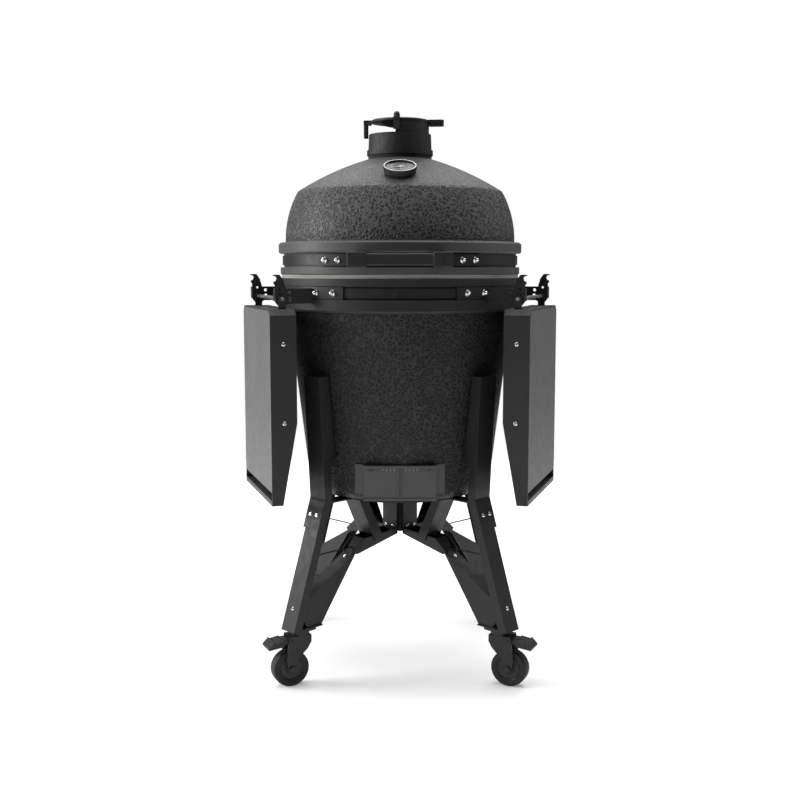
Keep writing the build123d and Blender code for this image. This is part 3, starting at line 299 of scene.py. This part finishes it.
def moulded(name, level, rough):
    """Moulded black plastic or rubber with a fine spark-eroded grain."""
    f = Finish(name, rough)
    f.shader.inputs["Specular IOR Level"].default_value = 0.3
    grain = f.noise(1800.0, 2.0)
    f.colour(f.mix(f.spread(f.noise(30.0, 4.0), 0.3, 0.7), grey(level * 0.85), grey(level * 1.2)))
    f.roughness(f.spread(f.noise(45.0, 3.0), 0.3, 0.7, rough - 0.07, rough + 0.07))
    f.bumps([(grain, 0.0001)], EDGE_ROUND)
    return f.mat


def felt(name, dark, light):
    """Woven felt with fibres that run round the ring."""
    f = Finish(name, 0.95)
    fibres = f.noise(1.0, 4.0, 0.7, f.stretched((900.0, 900.0, 2600.0)))
    f.colour(f.mix(f.spread(fibres, 0.3, 0.7), grey(dark, 0.04), grey(light, 0.04)))
    f.shader.inputs["Sheen Weight"].default_value = 0.25
    f.bumps([(fibres, 0.0004)])
    return f.mat


def fire_clay():
    """Rough buff fire clay of the bowl and ring."""
    f = Finish("fire_clay", 0.9)
    f.colour(f.mix(f.spread(f.noise(35.0, 6.0), 0.3, 0.7), (0.36, 0.30, 0.24), (0.55, 0.48, 0.40)))
    f.bumps([(f.noise(500.0, 4.0), 0.0004)], 0.002)
    return f.mat


def dial_print():
    """Dark dial with a fine brushed grain round its face."""
    f = Finish("dial_face", 0.4)
    grain = f.noise(1.0, 3.0, 0.5, f.stretched((300.0, 2500.0, 2500.0)))
    f.colour(f.mix(f.spread(grain, 0.3, 0.7), grey(0.025), grey(0.045)))
    f.bumps([(grain, 0.00003)])
    return f.mat


def clear_glass():
    """Thin dial glass with faint smears."""
    f = Finish("clear_glass", 0.04)
    f.shader.inputs["Transmission Weight"].default_value = 1.0
    f.shader.inputs["IOR"].default_value = 1.05
    f.shader.inputs["Specular IOR Level"].default_value = 0.1
    smear = f.noise(120.0, 3.0)
    f.colour(f.mix(f.spread(smear, 0.3, 0.7), grey(0.93), grey(0.99)))
    f.roughness(f.spread(smear, 0.35, 0.7, 0.02, 0.09))
    return f.mat


def print_ink():
    """Pale printing of the dial and the vent scale."""
    f = Finish("pale_print", 0.55)
    f.colour(f.mix(f.spread(f.noise(700.0, 3.0), 0.3, 0.7), grey(0.30), grey(0.42)))
    f.bumps([(f.noise(2500.0, 1.0), 0.00003)])
    return f.mat


LID_LOW, LID_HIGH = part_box("lid_ceramic")
BASE_LOW, BASE_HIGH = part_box("base_ceramic")
lid_glaze = ceramic("lid_glaze", 0.068, LID_LOW.z + LID_RINGS_H, LID_HIGH.z, LID_LOW.z + LID_SIDE_H, 0.4)
base_glaze = ceramic("base_glaze", 0.022, BASE_LOW.z - 0.1, BASE_HIGH.z - BASE_RINGS_H, BASE_HIGH.z, 1.0)
stand_coat = powder_coat("stand_coat", 0.017, 0.46)
bracket_coat = powder_coat("bracket_coat", 0.016, 0.42)
draft_coat = powder_coat("draft_coat", 0.075, 0.5)
frame_coat = powder_coat("table_frame_coat", 0.024, 0.46)
panel_coat = powder_coat("table_panel_coat", 0.105, 0.55)
vent_iron = cast_iron("vent_iron", 0.018, 0.45)
grate_iron = cast_iron("grate_iron", 0.03, 0.6)
chrome = polished("chrome_plate", 0.86, 0.06)
stainless = polished("ground_stainless", 0.6, 0.24, (60.0, 60.0, 900.0))
handle_black = moulded("handle_black", 0.022, 0.48)
tyre_rubber = moulded("tyre_rubber", 0.016, 0.62)
hub_plastic = moulded("hub_plastic", 0.026, 0.45)
pedal_black = moulded("pedal_black", 0.018, 0.5)
gasket_felt = felt("pale_felt", 0.23, 0.40)
# near-black felt for the chimney gasket
dark_felt = felt("dark_felt", 0.010, 0.022)
clay = fire_clay()
dial_face = dial_print()
glass = clear_glass()
ink = print_ink()
needle_paint = powder_coat("needle_paint", 0.7, 0.45)
wire_black = powder_coat("screen_wire", 0.04, 0.4)

FINISH_OF_SLOT = {
    "lid_glaze": lid_glaze, "base_glaze": base_glaze, "fire_clay": clay, "felt": gasket_felt,
    "cast_iron": grate_iron, "stainless": stainless, "band_steel": bracket_coat, "stand_steel": stand_coat,
    "chrome": chrome, "handle": handle_black, "vent_iron": vent_iron, "thermo_case": bracket_coat,
    "dial": dial_face, "needle": needle_paint, "lens": glass, "draft_steel": draft_coat,
    "table_frame": frame_coat, "table_panel": panel_coat, "tyre": tyre_rubber, "pedal": pedal_black,
}

FINISH_OF_NODE = {"chimney_gasket": dark_felt, "tie_rods": stand_coat}


def dress_cad_nodes():
    """Give every CAD node its own finish, or that of its record slot."""
    for entry in frame["record"]["subparts"]:
        mesh = NODES[entry["node"]].data
        mesh.materials.clear()
        special = FINISH_OF_NODE.get(entry["node"])
        mesh.materials.append(special or FINISH_OF_SLOT[entry["material_slot"]])


# ---------------------------------------------------------------- mesh helpers
def piece(name, mesh, material, body, smooth_angle=math.radians(35)):
    """Link a finished mesh as a piece that rides on a CAD body."""
    obj = bpy.data.objects.new(name, mesh)
    bpy.context.scene.collection.objects.link(obj)
    if not mesh.materials:
        mesh.materials.append(material)
    for face in mesh.polygons:
        face.use_smooth = True
    mesh.set_sharp_from_angle(angle=smooth_angle)
    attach(obj, body)
    return obj


def body_of(node):
    """Name of the body that a CAD node rides on."""
    return NODES[node]["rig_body"]


def joint_of(body):
    """Joint that carries a body."""
    return [joint for joint in frame["joints"] if joint["child"] == body][0]


def turned_mesh(name, profile, place, steps=96):
    """Closed solid of revolution of (radius, height) points about its own Z axis, put at place."""
    bm = bmesh.new()
    points = [bm.verts.new((radius, 0.0, height)) for radius, height in profile]
    edges = [bm.edges.new((points[i], points[(i + 1) % len(points)])) for i in range(len(points))]
    bmesh.ops.spin(bm, geom=points + edges, cent=(0, 0, 0), axis=(0, 0, 1), angle=math.tau, steps=steps)
    bmesh.ops.remove_doubles(bm, verts=bm.verts, dist=1e-6)
    bmesh.ops.recalc_face_normals(bm, faces=bm.faces)
    bmesh.ops.transform(bm, matrix=place, verts=bm.verts)
    mesh = bpy.data.meshes.new(name)
    bm.to_mesh(mesh)
    bm.free()
    return mesh


def facing(point, direction):
    """Matrix that puts an object's Z axis along a direction at a point."""
    turn = Vector((0, 0, 1)).rotation_difference(Vector(direction).normalized())
    return Matrix.Translation(point) @ turn.to_matrix().to_4x4()


def islands(node):
    """Centre, outward thin axis and seat of each separate solid in a CAD node, from its own mesh."""
    bm = bmesh.new()
    bm.from_mesh(NODES[node].data)
    bmesh.ops.remove_doubles(bm, verts=bm.verts, dist=1e-6)
    left = set(bm.verts)
    found = []
    while left:
        group = {left.pop()}
        edge_of_group = list(group)
        while edge_of_group:
            vert = edge_of_group.pop()
            for link in vert.link_edges:
                other = link.other_vert(vert)
                if other in left:
                    left.discard(other)
                    group.add(other)
                    edge_of_group.append(other)
        found.append(seat_of(group))
    bm.free()
    return found


def seat_of(group):
    """Flat underside of a fastener: its largest flat face points inwards, so the head faces away."""
    faces = {face for vert in group for face in vert.link_faces}
    areas = {}
    for face in faces:
        key = tuple(round(value, 2) for value in face.normal)
        areas[key] = areas.get(key, 0.0) + face.calc_area()
    inward = Vector(max(areas, key=areas.get)).normalized()
    seat = max((vert.co for vert in group), key=lambda co: co.dot(inward)).dot(inward)
    centre = sum((vert.co for vert in group), Vector()) / len(group)
    return centre + inward * (seat - centre.dot(inward)), -inward


# ---------------------------------------------------------------- repeated pieces
def repeat_tree(name, shape_object, material):
    """Node tree that stands a copy of one shape on each point, along its facing attribute."""
    tree = bpy.data.node_groups.new(name, "GeometryNodeTree")
    tree.interface.new_socket("Geometry", in_out="INPUT", socket_type="NodeSocketGeometry")
    size = tree.interface.new_socket("Size", in_out="INPUT", socket_type="NodeSocketFloat")
    size.default_value = 1.0
    tree.interface.new_socket("Geometry", in_out="OUTPUT", socket_type="NodeSocketGeometry")
    add = tree.nodes.new
    points, result = add("NodeGroupInput"), add("NodeGroupOutput")
    source = add("GeometryNodeObjectInfo")
    source.inputs["Object"].default_value = shape_object
    aim = add("GeometryNodeInputNamedAttribute")
    aim.data_type = "FLOAT_VECTOR"
    aim.inputs["Name"].default_value = "facing"
    turn = add("FunctionNodeAlignRotationToVector")
    turn.axis = "Z"
    copies = add("GeometryNodeInstanceOnPoints")
    real = add("GeometryNodeRealizeInstances")
    paint = add("GeometryNodeSetMaterial")
    paint.inputs["Material"].default_value = material
    link = tree.links.new
    link(points.outputs["Geometry"], copies.inputs["Points"])
    link(points.outputs["Size"], copies.inputs["Scale"])
    link(source.outputs["Geometry"], copies.inputs["Instance"])
    link(aim.outputs["Attribute"], turn.inputs["Vector"])
    link(turn.outputs["Rotation"], copies.inputs["Rotation"])
    link(copies.outputs["Instances"], real.inputs["Geometry"])
    link(real.outputs["Geometry"], paint.inputs["Geometry"])
    link(paint.outputs["Geometry"], result.inputs["Geometry"])
    return tree, size.identifier


def repeated(name, shape_mesh, places, material, body, size=1.0):
    """One piece with a copy of shape_mesh at each (point, direction)."""
    cloud = bpy.data.meshes.new(name + "_points")
    cloud.from_pydata([tuple(point) for point, direction in places], [], [])
    aim = cloud.attributes.new("facing", "FLOAT_VECTOR", "POINT")
    for i, (point, direction) in enumerate(places):
        aim.data[i].vector = direction
    holder = bpy.data.objects.new(name + "_holder", cloud)
    shape = bpy.data.objects.new(name + "_shape", shape_mesh)
    bpy.context.scene.collection.objects.link(holder)
    tree, size_key = repeat_tree(name + "_tree", shape, material)
    modifier = holder.modifiers.new("repeat", "NODES")
    modifier.node_group = tree
    modifier[size_key] = size
    evaluated = holder.evaluated_get(bpy.context.evaluated_depsgraph_get())
    mesh = bpy.data.meshes.new_from_object(evaluated)
    mesh.name = name
    mesh.materials.clear()
    mesh.polygons.foreach_set("material_index", [0] * len(mesh.polygons))
    holder.modifiers.clear()
    bpy.data.objects.remove(holder)
    bpy.data.objects.remove(shape)
    return piece(name, mesh, material, body)


def box_mesh(name, width, depth, height, bevel):
    """Block with softened edges, standing on its own origin."""
    bm = bmesh.new()
    bmesh.ops.create_cube(bm, size=1.0)
    scale = Matrix.Diagonal((width, depth, height, 1.0))
    bmesh.ops.transform(bm, matrix=Matrix.Translation((0, 0, height / 2)) @ scale, verts=bm.verts)
    bmesh.ops.bevel(bm, geom=list(bm.edges), offset=bevel, segments=2, affect="EDGES")
    mesh = bpy.data.meshes.new(name)
    bm.to_mesh(mesh)
    bm.free()
    return mesh


def dome_profile(radius, foot, top, steps=6):
    """Outline of a low dome from its rim at height foot to its pole at height top."""
    arc = [(radius * math.cos(a), foot + (top - foot) * math.sin(a))
           for a in [math.pi / 2 * i / steps for i in range(steps)]]
    return arc + [(0.0, top)]


def cap_nut_mesh():
    """Washer, hexagon and dome of a cap nut."""
    bm = bmesh.new()
    washer_h = 0.0011
    corner_r = NUT_ACROSS / 2
    washer = turned_mesh("washer", [(0.0, 0.0), (WASHER_R, 0.0), (WASHER_R, washer_h * 0.7),
                                    (WASHER_R - 0.0004, washer_h), (0.0, washer_h)], Matrix(), 32)
    bm.from_mesh(washer)
    hexagon = bmesh.ops.create_cone(bm, cap_ends=True, segments=6, radius1=corner_r, radius2=corner_r,
                                    depth=NUT_HEIGHT)["verts"]
    bmesh.ops.translate(bm, vec=(0, 0, NUT_HEIGHT / 2), verts=hexagon)
    edges = [e for e in bm.edges if e.verts[0] in hexagon and e.verts[1] in hexagon]
    bmesh.ops.bevel(bm, geom=edges, offset=0.0004, segments=2, affect="EDGES")
    dome_r = corner_r * 0.8
    dome = turned_mesh("dome", [(0.0, NUT_HEIGHT - 0.001)] + dome_profile(dome_r, NUT_HEIGHT - 0.001,
                                                                          NUT_HEIGHT + dome_r), Matrix(), 32)
    bm.from_mesh(dome)
    mesh = bpy.data.meshes.new("cap_nut")
    bm.to_mesh(mesh)
    bm.free()
    return mesh


def button_bolt_mesh():
    """Domed button head with a hexagon socket."""
    low = BOLT_HEIGHT * 0.35
    ring = [(BOLT_R * math.cos(a), low + (BOLT_HEIGHT - low) * math.sin(a))
            for a in [math.radians(62) * i / 6 for i in range(7)]]
    socket = [(SOCKET_R, ring[-1][1]), (SOCKET_R * 0.96, low * 0.6), (0.0, low * 0.4)]
    profile = [(0.0, 0.0), (BOLT_R, 0.0)] + ring + socket
    return turned_mesh("button_bolt", profile, Matrix(), 30)


def fastener_pieces():
    """Chromed cap nuts on the bands and button bolts on the stand and tables."""
    nut = cap_nut_mesh()
    bolt = button_bolt_mesh()
    for node, shape in (("lid_band_nuts", nut), ("base_band_nuts", nut), ("stand_bolts", bolt),
                        ("table_bolts_left", bolt), ("table_bolts_right", bolt)):
        made = repeated(node + "_heads", shape, islands(node), chrome, body_of(node))
        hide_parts(node)


# ---------------------------------------------------------------- hinge springs
def helix_mesh(name, start, end, radius, wire_r, turns):
    """Round wire wound about the line from start to end."""
    curve = bpy.data.curves.new(name, "CURVE")
    curve.dimensions = "3D"
    curve.bevel_depth = wire_r
    curve.bevel_resolution = 3
    curve.use_fill_caps = True
    steps = turns * 28
    line = curve.splines.new("POLY")
    line.points.add(steps)
    axis = end - start
    for i in range(steps + 1):
        angle = math.tau * i / 28
        spot = start + axis * (i / steps) + Vector((0, radius * math.cos(angle), radius * math.sin(angle)))
        line.points[i].co = (*spot, 1.0)
    holder = bpy.data.objects.new(name, curve)
    bpy.context.scene.collection.objects.link(holder)
    evaluated = holder.evaluated_get(bpy.context.evaluated_depsgraph_get())
    mesh = bpy.data.meshes.new_from_object(evaluated)
    mesh.materials.clear()
    bpy.data.objects.remove(holder)
    return mesh


def spring_pieces():
    """Two wound torsion springs in place of the stacks of rings on the hinge pin."""
    low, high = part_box("hinge_springs")
    centre = (low + high) / 2
    radius = (high.z - low.z) / 2 - SPRING_WIRE_R
    inner = max(v.co.x for v in NODES["hinge_springs"].data.vertices if v.co.x < 0)
    made = []
    for side, (near, far) in (("left", (inner, low.x)), ("right", (-inner, high.x))):
        shrink = math.copysign(SPRING_WIRE_R, near - far)
        start = Vector((near - shrink, centre.y, centre.z))
        end = Vector((far + shrink, centre.y, centre.z))
        mesh = helix_mesh(f"hinge_spring_{side}", start, end, radius, SPRING_WIRE_R, 6)
        made.append(piece(f"hinge_spring_{side}", mesh, stainless, body_of("hinge_springs")))
    for spring in made:
        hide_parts("hinge_springs")


# ---------------------------------------------------------------- thermometer
def dial_place():
    """Matrix on the dial's face, with Z along the needle's own axis."""
    axis = Vector(joint_of("needle")["axis"]).normalized()
    across = Vector((1, 0, 0))
    up = axis.cross(across)
    low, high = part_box("thermometer_dial")
    middle = (low + high) / 2
    turn = Matrix((across, up, axis)).transposed().to_4x4()
    top = max((v.co - middle).dot(axis) for v in NODES["thermometer_dial"].data.vertices)
    return Matrix.Translation(middle + axis * top) @ turn, (high.x - low.x) / 2


def dial_pieces():
    """Bright rim, scale marks and numbers of the thermometer."""
    place, radius = dial_place()
    low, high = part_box("thermometer_case")
    rim_r = (high.x - low.x) / 2
    lens_top = max((place.inverted() @ v.co).z for v in NODES["thermometer_case"].data.vertices)
    ring = [(rim_r - BEZEL_INSET + BEZEL_WIRE_R * math.cos(a), lens_top - 0.0004 + BEZEL_WIRE_R * math.sin(a))
            for a in [math.tau * i / 14 for i in range(14)]]
    piece("thermometer_bezel", turned_mesh("bezel", ring, place, 128), chrome, "lid")
    marks = []
    bm = bmesh.new()
    for i in range(DIAL_GAPS + 1):
        angle = math.radians(DIAL_START - DIAL_SWEEP * i / DIAL_GAPS)
        long_mark = i % 3 == 0
        length = 0.0046 if long_mark else 0.0026
        width = 0.0009 if long_mark else 0.0005
        block = bmesh.ops.create_cube(bm, size=1.0)["verts"]
        shape = Matrix.Rotation(angle, 4, "Z") @ Matrix.Translation((radius * 0.9 - length / 2, 0, 0.0001))
        bmesh.ops.transform(bm, matrix=place @ shape @ Matrix.Diagonal((length, width, PRINT_THICKNESS, 1)),
                            verts=block)
        if long_mark:
            marks.append((angle, i))
    mesh = bpy.data.meshes.new("dial_marks")
    bm.to_mesh(mesh)
    bm.free()
    piece("dial_marks", mesh, ink, "lid")
    for angle, i in marks:
        spot = Matrix.Translation((radius * 0.66 * math.cos(angle), radius * 0.66 * math.sin(angle), 0))
        number(f"dial_number_{i:02d}", str(DIAL_STEP * (1 + i // 3)), place @ spot, FIGURE_HEIGHT)


def number(name, text, place, height):
    """Printed figures on the dial, made a mesh and set in place."""
    curve = bpy.data.curves.new(name, "FONT")
    curve.body = text
    curve.size = height
    curve.align_x = "CENTER"
    curve.align_y = "CENTER"
    curve.extrude = PRINT_THICKNESS / 2
    holder = bpy.data.objects.new(name, curve)
    bpy.context.scene.collection.objects.link(holder)
    evaluated = holder.evaluated_get(bpy.context.evaluated_depsgraph_get())
    mesh = bpy.data.meshes.new_from_object(evaluated)
    bpy.data.objects.remove(holder)
    mesh.materials.clear()
    mesh.transform(place)
    piece(name, mesh, ink, "lid")


# ---------------------------------------------------------------- draft vent
def draft_pieces():
    """Scale ticks on the doors and a woven screen behind them."""
    for side, sign in SIDES:
        node = f"draft_door_{side}"
        low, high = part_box(node)
        inner = high.x if sign < 0 else low.x
        tick = box_mesh("tick", TICK_WIDTH, TICK_LENGTH, PRINT_THICKNESS, 0.0001)
        front = min(v.co.y for v in NODES[node].data.vertices if abs(v.co.x - inner) > 0.01
                    and v.co.z < low.z + 0.02)
        spots = [(Vector((inner + sign * (FIRST_TICK + TICK_PITCH * i), front, high.z - TICK_LENGTH)),
                  Vector((0, -1, 0))) for i in range(TICKS_PER_DOOR)]
        repeated(f"draft_ticks_{side}", tick, spots, ink, body_of(node))
    low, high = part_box("draft_screen")
    middle_y = (low.y + high.y) / 2
    bm = bmesh.new()
    for i in range(int((high.x - low.x) / SCREEN_PITCH) + 1):
        wire(bm, Vector((low.x + i * SCREEN_PITCH, middle_y - SCREEN_WIRE_R, low.z)),
             Vector((low.x + i * SCREEN_PITCH, middle_y - SCREEN_WIRE_R, high.z)), SCREEN_WIRE_R)
    for i in range(int((high.z - low.z) / SCREEN_PITCH) + 1):
        wire(bm, Vector((low.x, middle_y + SCREEN_WIRE_R, low.z + i * SCREEN_PITCH)),
             Vector((high.x, middle_y + SCREEN_WIRE_R, low.z + i * SCREEN_PITCH)), SCREEN_WIRE_R)
    mesh = bpy.data.meshes.new("spark_screen")
    bm.to_mesh(mesh)
    bm.free()
    screen = piece("spark_screen", mesh, wire_black, body_of("draft_screen"))
    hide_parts("draft_screen")


def wire(bm, start, end, radius):
    """Straight round wire of the screen."""
    length = (end - start).length
    place = facing((start + end) / 2, end - start)
    bmesh.ops.create_cone(bm, cap_ends=True, segments=8, radius1=radius, radius2=radius, depth=length,
                          matrix=place)


# ---------------------------------------------------------------- casters
def wheel_pieces():
    """Rubber tyre with a crowned tread on a dished plastic centre, for each caster."""
    for corner in CORNERS:
        node = f"caster_wheel_{corner}"
        joint = joint_of(body_of(node))
        centre = Vector(joint["pos_m"])
        low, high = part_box(node)
        outer = (high.z - low.z) / 2
        axis = Vector(joint["axis"])
        half = max((v.co - centre).dot(axis) for v in NODES[node].data.vertices) - WHEEL_SKIN
        place = facing(centre, axis)
        seat = outer - TYRE_DEPTH
        crown = [(outer - TREAD_R + TREAD_R * math.cos(a), side * (half - TREAD_R) + TREAD_R * math.sin(a))
                 for side, start in ((-1, -90), (1, 0))
                 for a in [math.radians(start + 18 * i) for i in range(6)]]
        tyre_outline = [(seat, -half + 0.001), (seat + 0.002, -half)] + crown
        tyre_outline += [(seat + 0.002, half), (seat, half - 0.001)]
        tyre = piece(f"tyre_{corner}", turned_mesh("tyre", tyre_outline, place), tyre_rubber,
                     body_of(node))
        dish = half - 0.0045
        upper = [(seat, half - 0.0015), (seat - 0.001, half - 0.0015), (seat - 0.004, dish), (0.013, dish),
                 (0.0105, half - 0.0012), (0.0085, half + 0.002), (HUB_BORE, half + 0.002)]
        lower = [(radius, -height) for radius, height in reversed(upper)]
        hub = piece(f"wheel_centre_{corner}", turned_mesh("wheel_centre", lower + upper, place), hub_plastic,
                    body_of(node))
        for made in (tyre, hub):
            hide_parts(node)


def pedal_pieces():
    """Grip ribs across the toe of each brake pedal."""
    for side, _ in SIDES:
        node = f"brake_pedal_front_{side}"
        joint = joint_of(body_of(node))
        pivot = Vector(joint["pos_m"])
        across = Vector(joint["axis"]).normalized()
        ahead = Vector((0, 0, 1)).cross(across) * -1
        rib = box_mesh("rib", 0.0016, 0.038, 0.0016, 0.0005)
        rib.transform(Matrix((ahead, across, Vector((0, 0, 1)))).transposed().to_4x4())
        spots = []
        for i in range(PEDAL_RIDGES):
            reach = FIRST_RIDGE + RIDGE_PITCH * i
            drop = 0.0035 - (reach - PEDAL_CREST) * PEDAL_FALL
            spots.append((pivot + ahead * reach + Vector((0, 0, drop - 0.0006)), Vector((0, 0, 1))))
        repeated(f"pedal_ribs_{side}", rib, spots, pedal_black, body_of(node))


# ---------------------------------------------------------------- studio
def studio():
    """Plain pale floor, a large key light on the left, weaker fill and a light from above."""
    mesh = bpy.data.meshes.new("floor")
    half = FLOOR_HALF
    corners = [(-half, -half, 0), (half, -half, 0), (half, half, 0), (-half, half, 0)]
    mesh.from_pydata(corners, [], [(0, 1, 2, 3)])
    floor = bpy.data.objects.new("floor", mesh)
    bpy.context.scene.collection.objects.link(floor)
    f = Finish("pale_floor", 0.7)
    f.colour(f.mix(f.spread(f.noise(1.3, 3.0), 0.3, 0.7), grey(0.84), grey(0.88)))
    f.shader.inputs["Emission Color"].default_value = (1.0, 1.0, 1.0, 1.0)
    f.shader.inputs["Emission Strength"].default_value = FLOOR_GLOW
    mesh.materials.append(f.mat)
    bpy.context.scene.view_settings.view_transform = "Standard"
    world = bpy.data.worlds.new("studio")
    bpy.context.scene.world = world
    world.use_nodes = True
    tree = world.node_tree
    dim = tree.nodes["Background"]
    dim.inputs["Color"].default_value = (1.0, 1.0, 1.0, 1.0)
    dim.inputs["Strength"].default_value = WORLD_STRENGTH
    backdrop = tree.nodes.new("ShaderNodeBackground")
    backdrop.inputs["Color"].default_value = (1.0, 1.0, 1.0, 1.0)
    ray = tree.nodes.new("ShaderNodeLightPath")
    both = tree.nodes.new("ShaderNodeMixShader")
    tree.links.new(ray.outputs["Is Camera Ray"], both.inputs["Fac"])
    tree.links.new(dim.outputs["Background"], both.inputs[1])
    tree.links.new(backdrop.outputs["Background"], both.inputs[2])
    tree.links.new(both.outputs["Shader"], tree.nodes["World Output"].inputs["Surface"])
    for name, spot, size, power in LIGHTS:
        light = bpy.data.lights.new(name, "AREA")
        light.energy = power
        light.size = size
        holder = bpy.data.objects.new(name, light)
        holder.location = spot
        holder.rotation_euler = (Vector(LIGHT_TARGET) - Vector(spot)).to_track_quat("-Z", "Y").to_euler()
        bpy.context.scene.collection.objects.link(holder)


def camera():
    """Front view from chest height, tipped slightly down."""
    data = bpy.data.cameras.new("camera")
    data.lens = 50.0
    data.sensor_width = 36.0
    holder = bpy.data.objects.new("camera", data)
    holder.location = (0.0, -2.57, 0.908)
    holder.rotation_euler = (math.radians(83.15), 0.0, 0.0)
    bpy.context.scene.collection.objects.link(holder)
    bpy.context.scene.camera = holder


dress_cad_nodes()
fastener_pieces()
spring_pieces()
dial_pieces()
draft_pieces()
wheel_pieces()
pedal_pieces()
studio()
camera()
